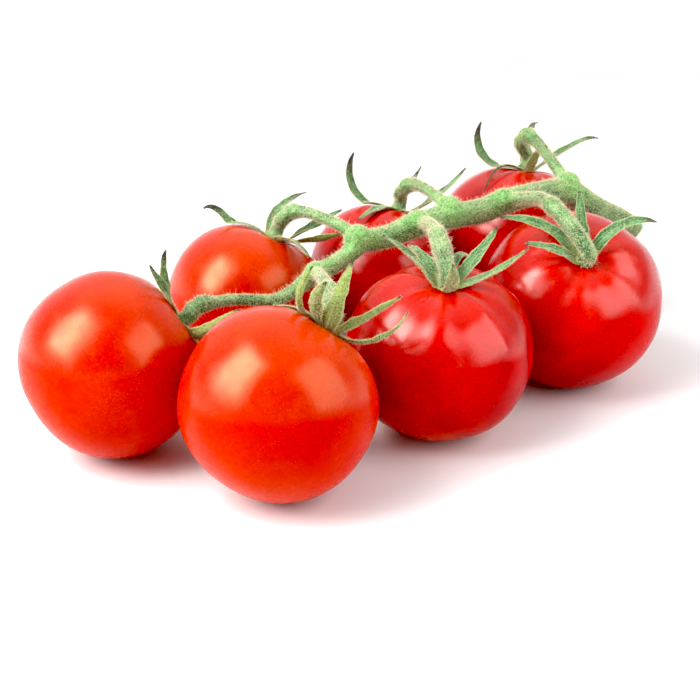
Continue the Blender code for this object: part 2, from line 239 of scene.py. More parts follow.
def mesh_normals(mesh: bpy.types.Mesh) -> np.ndarray:
    """The smooth normal at each point of a mesh."""
    flat = np.zeros(len(mesh.vertices) * 3, np.float32)
    mesh.vertex_normals.foreach_get("vector", flat)
    return flat.reshape(-1, 3).astype(float)


def place_piece(
    name: str,
    mesh: bpy.types.Mesh,
    material: bpy.types.Material,
    nodes: tuple[str, ...] = (),
) -> bpy.types.Object:
    """Links a piece, gives it its finish and fixes it to the truss.

    Args:
        name: Name of the piece.
        mesh: Its mesh, in world metres.
        material: Its finish.
        nodes: The solid nodes that the piece stands for.

    Returns:
        The piece.
    """
    mesh.materials.append(material)
    piece = bpy.data.objects.new(name, mesh)
    bpy.context.scene.collection.objects.link(piece)
    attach(piece, BODY)
    if nodes:
        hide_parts(*nodes)
    LOG.info("%s: %d faces", name, len(mesh.polygons))
    return piece


def tube(
    samples: np.ndarray,
    segments: int,
    profile: Callable[[np.ndarray, np.ndarray], np.ndarray],
) -> tuple[Points, Faces]:
    """A closed tube along a sampled route.

    Args:
        samples: Rows of x, y, z, thickness.
        segments: Points around the tube.
        profile: Gives radii over half the thickness, from distances along and angles around.

    Returns:
        Its points and faces.
    """
    _, sides, tops = carried_frames(samples)
    along = arc_lengths(samples)
    angles = np.arange(segments) * math.tau / segments
    shares = profile(along[:, None], angles[None, :])
    radii = samples[:, 3:4] / 2 * shares
    rings = (
        samples[:, None, :3]
        + sides[:, None, :] * (radii * np.cos(angles))[..., None]
        + tops[:, None, :] * (radii * np.sin(angles))[..., None]
    )
    points = np.vstack((rings.reshape(-1, 3), samples[:1, :3], samples[-1:, :3]))
    first, last = len(points) - 2, len(points) - 1
    faces = []
    for ring in range(len(samples) - 1):
        for step in range(segments):
            here, after = ring * segments + step, ring * segments + (step + 1) % segments
            faces.append((here, here + segments, after + segments, after))
    final = (len(samples) - 1) * segments
    for step in range(segments):
        after = (step + 1) % segments
        faces.append((first, step, after))
        faces.append((last, final + after, final + step))
    return points, faces


# ---------------------------------------------------------------- finishes


class NodeBench:
    """Places and joins the nodes of one material."""

    def __init__(self, name: str) -> None:
        """Starts a material with only its output and a Principled shader."""
        self.material = bpy.data.materials.new(name)
        self.material.use_nodes = True
        self.tree = self.material.node_tree
        self.shader = self.tree.nodes["Principled BSDF"]

    def add(self, kind: str, **settings: object) -> bpy.types.Node:
        """Adds a node.

        Args:
            kind: Type name of the node.
            **settings: Attributes of the node, or numbers for its inputs, whose names have
                underscores for spaces.

        Returns:
            The node.
        """
        node = self.tree.nodes.new(kind)
        for key, value in settings.items():
            if hasattr(node, key):
                setattr(node, key, value)
            else:
                node.inputs[key.replace("_", " ")].default_value = value
        return node

    def link(self, source: bpy.types.NodeSocket, target: bpy.types.NodeSocket) -> None:
        """Joins an output to an input."""
        self.tree.links.new(source, target)

    def value(self, name: str) -> bpy.types.NodeSocket:
        """The number that a mesh stores for each point under that name."""
        return self.add("ShaderNodeAttribute", attribute_name=name).outputs["Fac"]

    def vector(self, name: str) -> bpy.types.NodeSocket:
        """The vector that a mesh stores for each point under that name."""
        return self.add("ShaderNodeAttribute", attribute_name=name).outputs["Vector"]

    def place(self) -> bpy.types.NodeSocket:
        """The point's own place on the piece, in metres."""
        return self.add("ShaderNodeTexCoord").outputs["Object"]

    def noise(
        self, where: bpy.types.NodeSocket, pitch: float, detail: float = 2.0, rough: float = 0.5
    ) -> bpy.types.NodeSocket:
        """Soft noise.

        Args:
            where: Coordinates, in metres.
            pitch: Size of its patches, in millimetres.
            detail: Number of finer layers.
            rough: Strength of each finer layer.

        Returns:
            A value of about 0.3 to 0.7.
        """
        node = self.add("ShaderNodeTexNoise", Scale=1 / (pitch * MM), Detail=detail, Roughness=rough)
        self.link(where, node.inputs["Vector"])
        return node.outputs["Fac"]

    def cells(self, where: bpy.types.NodeSocket, pitch: float) -> bpy.types.NodeSocket:
        """Many scattered dots.

        Args:
            where: Coordinates, in metres.
            pitch: Distance between dots, in millimetres.

        Returns:
            Distance to the nearest dot, over the pitch.
        """
        node = self.add("ShaderNodeTexVoronoi", Scale=1 / (pitch * MM), Randomness=1.0)
        self.link(where, node.inputs["Vector"])
        return node.outputs["Distance"]

    def span(
        self,
        source: bpy.types.NodeSocket,
        low: float,
        high: float,
        to_low: float = 0.0,
        to_high: float = 1.0,
    ) -> bpy.types.NodeSocket:
        """Maps a number smoothly onto another range, held at both ends.

        Args:
            source: The number.
            low: Where the range starts.
            high: Where it ends.
            to_low: What the start becomes.
            to_high: What the end becomes.

        Returns:
            The mapped number.
        """
        node = self.add("ShaderNodeMapRange", interpolation_type="SMOOTHSTEP")
        for key, number in zip(("From Min", "From Max", "To Min", "To Max"), (low, high, to_low, to_high)):
            node.inputs[key].default_value = number
        self.link(source, node.inputs["Value"])
        return node.outputs["Result"]

    def reckon(self, operation: str, one: bpy.types.NodeSocket, other: object) -> bpy.types.NodeSocket:
        """Reckons with two numbers.

        Args:
            operation: Name of the Math operation.
            one: The first number.
            other: The second number, or the socket of one.

        Returns:
            The result.
        """
        node = self.add("ShaderNodeMath", operation=operation)
        self.link(one, node.inputs[0])
        if isinstance(other, bpy.types.NodeSocket):
            self.link(other, node.inputs[1])
        else:
            node.inputs[1].default_value = float(other)
        return node.outputs[0]

    def blend(self, share: bpy.types.NodeSocket, one: object, other: object) -> bpy.types.NodeSocket:
        """Mixes two colours.

        Args:
            share: How much of the other colour shows.
            one: A colour or the socket of one.
            other: A colour or the socket of one.

        Returns:
            The mixed colour.
        """
        node = self.add("ShaderNodeMix", data_type="RGBA")
        self.link(share, node.inputs["Factor"])
        for index, colour in ((6, one), (7, other)):
            if isinstance(colour, bpy.types.NodeSocket):
                self.link(colour, node.inputs[index])
            else:
                node.inputs[index].default_value = (*colour, 1.0)
        return node.outputs[2]

    def bump(self, height: bpy.types.NodeSocket, depth: float, strength: float) -> None:
        """Lets a height ripple the shader's surface.

        Args:
            height: The height.
            depth: How deep a height of 1 is, in millimetres.
            strength: Share of the ripple that shows.
        """
        node = self.add("ShaderNodeBump", Strength=strength, Distance=depth * MM)
        self.link(height, node.inputs["Height"])
        self.link(node.outputs["Normal"], self.shader.inputs["Normal"])

    def set(self, **numbers: object) -> None:
        """Sets inputs of the shader, whose names have underscores for spaces."""
        for key, value in numbers.items():
            self.shader.inputs[key.replace("_", " ")].default_value = value


DOWN_SHEEN = (0.92, 0.93, 0.72, 1.0)


@dataclass(frozen=True)
class SkinFinish:
    """Waxy tomato skin: a clear gloss over red flesh, with fine pale dots and painted shade in the grooves
    between its lobes.
    """

    name: str
    body: Colour
    deep: Colour
    shoulder: Colour
    blossom_end: Colour
    dot: Colour
    gloss_tint: Colour
    gloss: float
    roughness: float
    wax: float
    wax_roughness: float
    scar: Colour = (0.16, 0.06, 0.02)
    ripe_pitch: float = 22  # the pitches are the sizes of the patches, in millimetres
    mottle_pitch: float = 2.4
    dot_pitch: float = 0.62
    dot_patch_pitch: float = 9
    grain_pitch: float = 0.9
    haze_pitch: float = 5
    pore_pitch: float = 0.55
    pore_depth: float = 0.03
    pore_strength: float = 0.35
    shoulder_strength: float = 0.75
    # strength of the painted shade in the grooves between the lobes
    painted_groove_shade: float = 0.55
    grain_shade: float = 0.45  # the grain's colour over the deep one
    smoother: float = 0.04  # how far the haze takes the roughness down, and up
    rougher: float = 0.06
    low_gloss: float = 0.12  # gloss of a part that faces the table, over the gloss above

    def make(self) -> bpy.types.Material:
        """Builds the material."""
        bench = NodeBench(self.name)
        place = bench.place()
        dots = bench.span(bench.cells(place, self.dot_pitch), 0.3, 0.08)
        flesh = self.flesh(bench, place, dots)
        bench.link(flesh, bench.shader.inputs["Base Color"])
        smoothest, roughest = self.roughness - self.smoother, self.roughness + self.rougher
        haze = bench.span(bench.noise(place, self.haze_pitch, 3), 0.35, 0.7, smoothest, roughest)
        bench.link(haze, bench.shader.inputs["Roughness"])
        fine = bench.noise(place, self.pore_pitch, 1)
        bench.bump(
            bench.reckon("ADD", fine, bench.reckon("MULTIPLY", dots, 0.5)),
            self.pore_depth,
            self.pore_strength,
        )
        low = bench.value("low")
        gloss = bench.span(low, 0, 1, self.gloss, self.gloss * self.low_gloss)
        bench.link(gloss, bench.shader.inputs["Specular IOR Level"])
        bench.link(bench.span(low, 0, 0.7, self.wax, 0), bench.shader.inputs["Coat Weight"])
        bench.set(
            IOR=1.5,
            Specular_Tint=(*self.gloss_tint, 1.0),
            Coat_Roughness=self.wax_roughness,
            Coat_IOR=1.5,
            Subsurface_Weight=0.12,
            Subsurface_Radius=(1.0, 0.2, 0.08),
            Subsurface_Scale=0.004,
        )
        return bench.material

    def flesh(
        self, bench: NodeBench, place: bpy.types.NodeSocket, dots: bpy.types.NodeSocket
    ) -> bpy.types.NodeSocket:
        """Mixes the colour of the flesh that shows through the skin.

        Args:
            bench: The material's bench.
            place: The point's own place.
            dots: Where the fine pale dots are.

        Returns:
            The colour.
        """
        polar = bench.value("polar")
        groove = bench.value("groove")
        ripe = bench.span(bench.noise(place, self.ripe_pitch, 3), 0.38, 0.64)
        flesh = bench.blend(ripe, self.body, self.deep)
        top = bench.reckon("MULTIPLY", bench.span(polar, 0.42, 0.12), self.shoulder_strength)
        flesh = bench.blend(top, flesh, self.shoulder)
        mottle = bench.span(bench.noise(place, self.mottle_pitch, 4, 0.62), 0.4, 0.66)
        end = bench.span(polar, 0.55, 0.9)
        end = bench.reckon("MULTIPLY", end, bench.reckon("ADD", mottle, 0.35))
        flesh = bench.blend(end, flesh, self.blossom_end)
        # painted shade: deeper red in the grooves between the lobes
        flesh = bench.blend(bench.reckon("MULTIPLY", groove, self.painted_groove_shade), flesh, self.deep)
        patches = bench.span(bench.noise(place, self.dot_patch_pitch), 0.35, 0.65, 0.12, 0.5)
        flesh = bench.blend(bench.reckon("MULTIPLY", dots, patches), flesh, self.dot)
        grain = bench.span(bench.noise(place, self.grain_pitch, 3, 0.75), 0.54, 0.42, 0.0, 0.3)
        flesh = bench.blend(grain, flesh, tuple(part * self.grain_shade for part in self.deep))
        return bench.blend(bench.span(polar, 0.985, 0.995), flesh, self.scar)


@dataclass(frozen=True)
class StemFinish:
    """Matt green stem with lengthwise streaks, fine pale down and fresh green at its joints, with painted
    shade where it faces down and a painted brownish shade on its underside.
    """

    name: str
    body: Colour = (0.12, 0.32, 0.10)
    dark: Colour = (0.018, 0.08, 0.018)
    pale: Colour = (0.52, 0.74, 0.36)
    fresh: Colour = (0.20, 0.66, 0.13)
    # brownish colour of the painted shade on the stem's underside
    painted_brown_shade: Colour = (0.30, 0.22, 0.09)
    pith: Colour = (0.20, 0.22, 0.09)
    streak_pitch: float = 1.3
    cloud_pitch: float = 6
    pit_pitch: float = 0.75
    down_pitch: float = 0.5
    ridge_pitch: float = 0.9
    cloud_strength: float = 0.45
    # strength of the painted shade on the parts that face down
    painted_underside_shade: float = 0.7
    relief: float = 0.22
    relief_strength: float = 0.7

    def make(self) -> bpy.types.Material:
        """Builds the material."""
        bench = NodeBench(self.name)
        place = bench.place()
        grain = bench.vector("grain")
        streak = bench.span(bench.noise(grain, self.streak_pitch, 3), 0.36, 0.66)
        green = bench.blend(streak, self.dark, self.body)
        cloud = bench.span(bench.noise(place, self.cloud_pitch, 2), 0.38, 0.66)
        green = bench.blend(bench.reckon("MULTIPLY", cloud, self.cloud_strength), green, self.pale)
        green = bench.blend(bench.value("fresh"), green, self.fresh)
        # painted shade: darker green where the stem faces down
        low = bench.reckon("MULTIPLY", bench.value("low"), self.painted_underside_shade)
        green = bench.blend(low, green, self.dark)
        # painted shade: brownish on the underside below the front right stalk's joint
        green = bench.blend(bench.value("painted_brown_shade"), green, self.painted_brown_shade)
        pits = bench.span(bench.noise(place, self.pit_pitch, 3, 0.75), 0.52, 0.40, 0.0, 0.75)
        green = bench.blend(pits, green, self.dark)
        down = bench.span(bench.noise(place, self.down_pitch, 3, 0.75), 0.52, 0.64, 0.0, 0.8)
        green = bench.blend(down, green, self.pale)
        green = bench.blend(bench.value("cut"), green, self.pith)
        bench.link(green, bench.shader.inputs["Base Color"])
        rough = bench.span(bench.noise(place, 1.5, 2), 0.3, 0.7, 0.5, 0.72)
        bench.link(rough, bench.shader.inputs["Roughness"])
        fine = bench.noise(place, self.down_pitch, 3, 0.6)
        height = bench.reckon("ADD", fine, bench.noise(grain, self.ridge_pitch, 2))
        bench.bump(height, self.relief, self.relief_strength)
        bench.set(
            Specular_IOR_Level=0.35,
            Sheen_Weight=0.25,
            Sheen_Roughness=0.4,
            Sheen_Tint=DOWN_SHEEN,
            Subsurface_Weight=0.08,
            Subsurface_Radius=(0.4, 1.0, 0.2),
            Subsurface_Scale=0.0012,
        )
        return bench.material


@dataclass(frozen=True)
class SepalFinish:
    """Leaf green with veins and pale edges, olive below, with painted shade where it faces down, dry and
    dark at the tip.
    """

    name: str
    body: Colour = (0.11, 0.29, 0.10)
    dark: Colour = (0.018, 0.08, 0.020)
    vein: Colour = (0.40, 0.64, 0.30)
    edge: Colour = (0.66, 0.70, 0.36)
    underside: Colour = (0.32, 0.37, 0.05)
    base: Colour = (0.40, 0.38, 0.07)
    dry_tip: Colour = (0.028, 0.022, 0.014)
    streak_pitch: float = 1.1
    pit_pitch: float = 0.8
    down_pitch: float = 0.6
    relief_pitch: float = 0.4
    under_strength: float = 0.8
    # strength of the painted shade on the parts that face down
    painted_underside_shade: float = 0.6
    vein_strength: float = 0.7
    root_strength: float = 0.75
    relief: float = 0.16
    relief_strength: float = 0.7

    def make(self) -> bpy.types.Material:
        """Builds the material."""
        bench = NodeBench(self.name)
        place = bench.place()
        grain = bench.vector("grain")
        across = bench.reckon("ABSOLUTE", bench.value("across"), 0.0)
        streak = bench.span(bench.noise(grain, self.streak_pitch, 3), 0.36, 0.64)
        leaf = bench.blend(streak, self.dark, self.body)
        under = bench.reckon("MULTIPLY", bench.value("under"), self.under_strength)
        leaf = bench.blend(under, leaf, self.underside)
        # painted shade: darker green where the sepal faces down
        low = bench.reckon("MULTIPLY", bench.value("low"), self.painted_underside_shade)
        leaf = bench.blend(low, leaf, self.dark)
        pits = bench.span(bench.noise(place, self.pit_pitch, 3, 0.75), 0.5, 0.4, 0.0, 0.7)
        leaf = bench.blend(pits, leaf, self.dark)
        down = bench.span(bench.noise(place, self.down_pitch, 3, 0.75), 0.52, 0.64, 0.0, 0.7)
        leaf = bench.blend(down, leaf, self.vein)
        veins = bench.value("vein")
        leaf = bench.blend(bench.reckon("MULTIPLY", veins, self.vein_strength), leaf, self.vein)
        rim = bench.span(across, 0.8, 1.0, 0.0, 0.6)
        leaf = bench.blend(rim, leaf, self.edge)
        root = bench.reckon("MULTIPLY", bench.value("root"), self.root_strength)
        leaf = bench.blend(root, leaf, self.base)
        leaf = bench.blend(bench.value("dry"), leaf, self.dry_tip)
        bench.link(leaf, bench.shader.inputs["Base Color"])
        rough = bench.span(bench.noise(place, 1.2, 2), 0.3, 0.7, 0.5, 0.7)
        bench.link(rough, bench.shader.inputs["Roughness"])
        fine = bench.noise(place, self.relief_pitch, 3, 0.6)
        height = bench.reckon("SUBTRACT", fine, bench.reckon("MULTIPLY", veins, 0.6))
        bench.bump(height, self.relief, self.relief_strength)
        bench.set(
            Specular_IOR_Level=0.35,
            Sheen_Weight=0.2,
            Sheen_Roughness=0.4,
            Sheen_Tint=DOWN_SHEEN,
            Subsurface_Weight=0.1,
            Subsurface_Radius=(0.5, 1.0, 0.2),
            Subsurface_Scale=0.001,
        )
        return bench.material


@dataclass(frozen=True)
class DownFinish:
    """The pale, fine hairs that cover everything green."""

    name: str
    colour: Colour = (0.96, 0.88, 0.60)

    def make(self) -> bpy.types.Material:
        """Builds the material."""
        bench = NodeBench(self.name)
        bench.set(Base_Color=(*self.colour, 1.0), Roughness=0.55, Specular_IOR_Level=0.3)
        return bench.material


@dataclass(frozen=True)
class TableFinish:
    """A plain, nearly white table top with a faint mottle, and a painted glow that grows with distance
    from the truss.
    """

    name: str
    light: Colour = (0.90, 0.90, 0.90)
    grey: Colour = (0.885, 0.885, 0.89)
    mottle_pitch: float = 60
    painted_glow_start: float = 0.45  # metres from the truss at which the painted glow begins
    painted_glow_end: float = 1.5
    painted_glow_strength: float = 1.1

    def make(self) -> bpy.types.Material:
        """Builds the material."""
        bench = NodeBench(self.name)
        mottle = bench.span(bench.noise(bench.place(), self.mottle_pitch, 3), 0.4, 0.6)
        bench.link(bench.blend(mottle, self.light, self.grey), bench.shader.inputs["Base Color"])
        # painted light: the table glows more the farther it is from the truss
        away = bench.add("ShaderNodeVectorMath", operation="LENGTH")
        bench.link(bench.place(), away.inputs[0])
        glow = bench.span(away.outputs["Value"], self.painted_glow_start, self.painted_glow_end, 0, self.painted_glow_strength)
        bench.link(glow, bench.shader.inputs["Emission Strength"])
        bench.set(Roughness=0.8, Specular_IOR_Level=0.2, Emission_Color=(1.0, 1.0, 1.0, 1.0))
        return bench.material


# ---------------------------------------------------------------- the fruit


@dataclass
class Tomato:
    """One fruit: a lobed, slightly flattened body with a dimple, resting on a small flat."""

    name: str
    x: float
    y: float
    radius: float
    height_share: float  # half height on the stem's side of the middle, over the radius
    tip_share: float  # the same on the blossom's side
    lean: float  # between the stem axis and straight up
    lean_towards: float  # compass direction of that lean, from +X
    lobes: int
    lobe_depth: float  # share of the radius
    lobe_turn: float
    dimple: float
    fine_ribs: int
    fine_depth: float
    slot: Slot
    seed: int
    pressed_flat: float = 0.5
    squareness: float = 2.15
    dimple_spread: float = 0.30
    scar_depth: float = 0.5
    scar_spread: float = 0.12
    shoulder_fade: float = 0.9
    unevenness: float = 0.18
    uneven_pitch: float = 24
    bunching: float = 0.08  # how much closer the rings stand at both ends
    gloss_from: float = 0.18  # how far up a part has to look for its gloss to start, and to be full
    gloss_full: float = 0.42
    rings: int = 150
    segments: int = 200

    def __post_init__(self) -> None:
        """Finds the stem axis and how high the fruit's middle stands."""
        lean, towards = math.radians(self.lean), math.radians(self.lean_towards)
        level = math.sin(lean)
        axis = np.array((level * math.cos(towards), level * math.sin(towards), math.cos(lean)))
        side = unit(np.array((1.0, 0.0, 0.0)) - axis * axis[0])
        self.turn = np.column_stack((side, np.cross(axis, side), axis))
        # The same coarse grid as the solid's, so that both stand equally high
        coarse_polar, coarse_azimuth = np.linspace(0, math.pi, 15), np.arange(24) * math.tau / 24
        polar, azimuth = np.meshgrid(coarse_polar, coarse_azimuth, indexing="ij")
        lowest = self.to_world(self.skin(polar.ravel(), azimuth.ravel()), np.zeros(3))[:, 2].min()
        self.middle = np.array((self.x, self.y, -lowest - self.pressed_flat))

    def skin_radius(self, polar: np.ndarray, azimuth: np.ndarray) -> np.ndarray:
        """Measures the plain skin.

        Args:
            polar: Angles from the stem axis, in radians.
            azimuth: Angles around it.

        Returns:
            Distances from the fruit's middle.
        """
        half_height = np.where(polar < math.pi / 2, self.height_share, self.tip_share)
        across, along = np.sin(polar), np.cos(polar) / half_height
        power = self.squareness
        oblate = self.radius / (np.abs(across) ** power + np.abs(along) ** power) ** (1 / power)
        dimple = self.dimple * np.exp(-((polar / self.dimple_spread) ** 2))
        scar = self.scar_depth * np.exp(-(((math.pi - polar) / self.scar_spread) ** 2))
        return oblate * (1 - self.groove(polar, azimuth)) - dimple - scar

    def groove(self, polar: np.ndarray, azimuth: np.ndarray) -> np.ndarray:
        """Measures the grooves between the lobes.

        Args:
            polar: Angles from the stem axis, in radians.
            azimuth: Angles around it.

        Returns:
            Depths, as shares of the radius.
        """
        strength = np.sqrt(np.maximum(np.sin(polar), 0.0))
        strength = strength * (0.35 + 0.65 * np.exp(-((polar / self.shoulder_fade) ** 2)))
        wave = np.cos(self.lobes * azimuth + math.radians(self.lobe_turn))
        wave = wave + 0.35 * np.cos((self.lobes - 2) * azimuth + math.radians(2 * self.lobe_turn))
        return self.lobe_depth * strength * (1.35 - wave) / 2

    def skin(self, polar: np.ndarray, azimuth: np.ndarray) -> np.ndarray:
        """Finds points of the plain skin.

        Args:
            polar: Angles from the stem axis, in radians.
            azimuth: Angles around it.

        Returns:
            Points in the fruit's own frame, whose Z is the stem axis.
        """
        reach = self.skin_radius(polar, azimuth)
        across = np.sin(polar) * reach
        along = np.cos(polar) * reach
        return np.stack((across * np.cos(azimuth), across * np.sin(azimuth), along), axis=-1)

    def to_world(self, points: np.ndarray, middle: Optional[np.ndarray] = None) -> np.ndarray:
        """Moves points from the fruit's own frame to the layout's, in millimetres."""
        return points @ self.turn.T + (self.middle if middle is None else middle)

    def ribs(self, polar: np.ndarray, azimuth: np.ndarray) -> np.ndarray:
        """Measures the fine, uneven ribs that run down from the calyx.

        Args:
            polar: Angles from the stem axis, in radians.
            azimuth: Angles around it.

        Returns:
            Depths in millimetres.
        """
        band = smoothstep(0.16, 0.42, polar) * (1 - smoothstep(0.7, 1.5, polar))
        wave = np.cos(self.fine_ribs * azimuth + self.seed)
        wave = wave + 0.6 * np.cos((self.fine_ribs - 3) * azimuth + 2.0)
        return self.fine_depth * band * (1.6 - wave) / 3.2

    def mesh(self) -> bpy.types.Mesh:
        """Builds the skin as one closed surface that is flat where it meets the table."""
        share = np.linspace(0, 1, self.rings + 1)[1:-1]
        polars = math.pi * (share - self.bunching * np.sin(math.tau * share) / math.tau)
        azimuths = np.arange(self.segments) * math.tau / self.segments
        polar, azimuth = np.meshgrid(polars, azimuths, indexing="ij")
        polar = np.concatenate(((0.0,), polar.ravel(), (math.pi,)))
        azimuth = np.concatenate(((0.0,), azimuth.ravel(), (0.0,)))
        plain = self.skin(polar, azimuth)
        uneven = self.unevenness * wander(plain, self.uneven_pitch, self.seed)
        uneven = uneven * smoothstep(0.1, 0.6, polar)
        plain = plain + unit(plain) * (uneven - self.ribs(polar, azimuth))[:, None]
        world = self.to_world(plain)
        world[:, 2] = np.maximum(world[:, 2], 0.0)
        count, last = self.segments, len(world) - 1
        faces: Faces = []
        for step in range(count):
            after = (step + 1) % count
            faces.append((0, 1 + step, 1 + after))
            faces.append((last, last - count + after, last - count + step))
            for ring in range(self.rings - 2):
                upper = 1 + ring * count
                lower = upper + count
                faces.append((upper + step, lower + step, lower + after, upper + after))
        mesh = new_mesh(f"tomato_{self.name}", world + FOOTPRINT_SHIFT, faces)
        add_value(mesh, "polar", polar / math.pi)
        facing_up = mesh_normals(mesh)[:, 2]
        add_value(mesh, "low", 1 - smoothstep(self.gloss_from, self.gloss_full, facing_up))
        # marks the grooves between the lobes for painted shade
        deepest = max(self.lobe_depth, 1e-6)
        add_value(mesh, "groove", np.clip(self.groove(polar, azimuth) / deepest, 0, 1))
        return mesh

    def clear_of_skin(self, points: np.ndarray, clearance: float) -> np.ndarray:
        """Moves points outwards until they clear the skin.

        Args:
            points: Points of the fruit's own frame.
            clearance: How far off the skin they have to stay.

        Returns:
            The moved points.
        """
        reach = np.linalg.norm(points, axis=-1)
        polar = np.arccos(np.clip(points[..., 2] / reach, -1, 1))
        least = self.skin_radius(polar, np.arctan2(points[..., 1], points[..., 0])) + clearance
        return points * np.maximum(1.0, least / reach)[..., None]

    def build(self, material: bpy.types.Material) -> bpy.types.Object:
        """Makes the fruit and fixes it to the truss."""
        node = f"tomato_{self.name}"
        return place_piece(f"skin_{self.name}", self.mesh(), material, (node,))


# ---------------------------------------------------------------- the calyx


HOOK_START = 0.62  # share of a leaf's length


@dataclass(frozen=True)
class Sepal:
    """One leaf of a calyx, seen from its hub."""

    azimuth: float
    swerve: float  # how far the leaf turns sideways on its way out
    lift_start: float  # rise over the hub's plane where it leaves the hub
    lift_end: float
    length: float
    width: float
    dry: float = 0.06  # share of its length that has dried dark
    hook: float = 0.0  # extra bend of its last third
    twist: float = 0.0  # turn of the blade about its midrib at the tip


@dataclass
class Calyx:
    """The star of sepals on one fruit, grown as one piece around the foot of the stalk."""

    fruit: Tomato
    sepals: tuple[Sepal, ...]
    hub_radius: float = 3.6
    thickness: float = 1.0
    blade: float = 0.62  # thickness of a blade at its midrib
    edge: float = 0.2
    clearance: float = 0.35
    cup: float = 0.36  # height of a blade's edges over its midrib, over its half width
    fold_depth: float = 0.10
    rib_depth: float = 0.16
    hub_rise: float = 0.55
    widest_root: float = 36.0
    painted_shade_from: float = -0.8  # painted shade: how far down a part has to look for the darkest painted shade, and for none
    painted_shade_to: float = 0.2
    grain_stretch: float = 0.16
    stations: int = 46
    across: int = 15
    hub_rings: int = 5
    inner_steps: int = 6  # steps of the midrib's walk between two stations

    @property
    def hub_height(self) -> float:
        """Height of the hub's middle plane over the fruit's middle."""
        pole = float(self.fruit.skin_radius(np.array(0.0), np.array(0.0)))
        return pole + self.clearance + self.thickness / 2

    def spine(self, sepal: Sepal) -> tuple[np.ndarray, np.ndarray, np.ndarray]:
        """Walks along one sepal's midrib.

        Args:
            sepal: The leaf.

        Returns:
            The midrib's points, and the sideways and upward directions there.
        """
        start = math.radians(sepal.azimuth)
        spot = np.array((math.cos(start), math.sin(start), 0.0)) * self.hub_radius
        spot[2] = self.hub_height
        rows, sides, ups = [], [], []
        inner = self.inner_steps
        for station in range(self.stations + 1):
            share = station / self.stations
            outward, sideways, upward = self.leaf_axes(sepal, share)
            rows.append(spot.copy())
            sides.append(sideways)
            ups.append(upward)
            for step in range(inner):
                part = (station + (step + 0.5) / inner) / self.stations
                outward, _, _ = self.leaf_axes(sepal, min(part, 1.0))
                spot = spot + outward * sepal.length / self.stations / inner
        return np.array(rows), np.array(sides), np.array(ups)

    @staticmethod
    def leaf_axes(sepal: Sepal, share: float) -> tuple[np.ndarray, np.ndarray, np.ndarray]:
        """Finds which way a leaf goes.

        Args:
            sepal: The leaf.
            share: How far along it, over its length.

        Returns:
            Directions outward, sideways and upward there.
        """
        azimuth = math.radians(sepal.azimuth + sepal.swerve * share)
        bend = sepal.hook * max(0.0, share - HOOK_START) ** 2 / (1 - HOOK_START) ** 2
        lift = math.radians(sepal.lift_start + (sepal.lift_end - sepal.lift_start) * share + bend)
        level = math.cos(lift)
        outward = np.array((math.cos(azimuth) * level, math.sin(azimuth) * level, math.sin(lift)))
        sideways = np.array((-math.sin(azimuth), math.cos(azimuth), 0.0))
        upward = np.cross(outward, sideways)
        twist = math.radians(sepal.twist) * min(1.0, max(0.0, share - 0.05) / 0.5) ** 1.5
        turned = sideways * math.cos(twist) + upward * math.sin(twist)
        return outward, turned, np.cross(outward, turned)

    @staticmethod
    def width_share(share: np.ndarray) -> np.ndarray:
        """Width over full width: fullest a third of the way out, then a long point."""
        return (0.78 + 0.9 * share) * np.maximum(1 - share, 0) ** 0.85 + 0.11

    def root_gaps(self, index: int) -> tuple[float, float]:
        """Finds where a sepal meets its neighbours at the hub.

        Args:
            index: Which sepal.

        Returns:
            Angles from its middle to either side, in radians.
        """
        middle = self.sepals[index].azimuth
        before = (middle - self.sepals[index - 1].azimuth) % 360
        after = (self.sepals[(index + 1) % len(self.sepals)].azimuth - middle) % 360
        widest = self.widest_root
        return math.radians(min(before / 2, widest)), math.radians(min(after / 2, widest))

    def blade_sheet(self, index: int) -> dict[str, np.ndarray]:
        """Lays out one sepal.

        Args:
            index: Which sepal.

        Returns:
            Its points on a grid of station by place across, and the values that the finish reads.
        """
        sepal = self.sepals[index]
        rows, sides, ups = self.spine(sepal)
        share = np.linspace(0, 1, self.stations + 1)[:, None]
        side = np.linspace(-1, 1, self.across)[None, :]
        seed = index + 11 * self.fruit.seed
        ripple = 1 + 0.4 * np.sin(math.tau * (2.1 * share + 0.37 * seed + 0.22 * side))
        half = sepal.width * self.width_share(share) / 2
        half = half * (1 + 0.05 * np.sin(math.tau * 5 * share + seed + 2 * np.sign(side)))
        before, after = self.root_gaps(index)
        angle = np.where(side < 0, side * before, side * after)
        root = math.radians(sepal.azimuth) + angle
        level = np.full_like(root, self.hub_height / self.hub_radius)
        rim = np.stack((np.cos(root), np.sin(root), level), axis=-1) * self.hub_radius
        rise = self.cup * half * np.minimum(1.0, 3 * share) * np.abs(side) ** 1.7 * ripple
        fold = -self.fold_depth * np.exp(-((side / 0.16) ** 2))
        fold = fold * smoothstep(0.05, 0.3, share) * (1 - share)
        points = (
            rows[:, None, :]
            + sides[:, None, :] * (side * half)[..., None]
            + ups[:, None, :] * (rise + fold)[..., None]
        )
        merge = smoothstep(0.0, 0.16, share)[..., None]
        points = rim * (1 - merge) + points * merge
        points = self.fruit.clear_of_skin(points, self.clearance + self.thickness / 2)
        vein = np.exp(-((side / 0.09) ** 2))
        vein = vein + 0.55 * np.exp(-(((np.abs(side) - 0.45) / 0.07) ** 2))
        fullness = 1 - np.abs(side) ** 1.6
        dried = smoothstep(1 - 1.6 * sepal.dry, 1 - 0.5 * sepal.dry, share)
        ones = np.ones_like(side)
        return {
            "points": points,
            "thick": (self.edge + (self.blade - self.edge) * fullness) * (1 - 0.6 * share**2),
            "along": share * ones,
            "across": side * np.ones_like(share),
            "vein": vein * (1 - share),
            "dry": dried * ones,
            "root": (1 - smoothstep(0.0, 0.2, share)) * ones,
            "length": share * sepal.length * ones + 7.3 * index,
            "offset": side * half,
        }

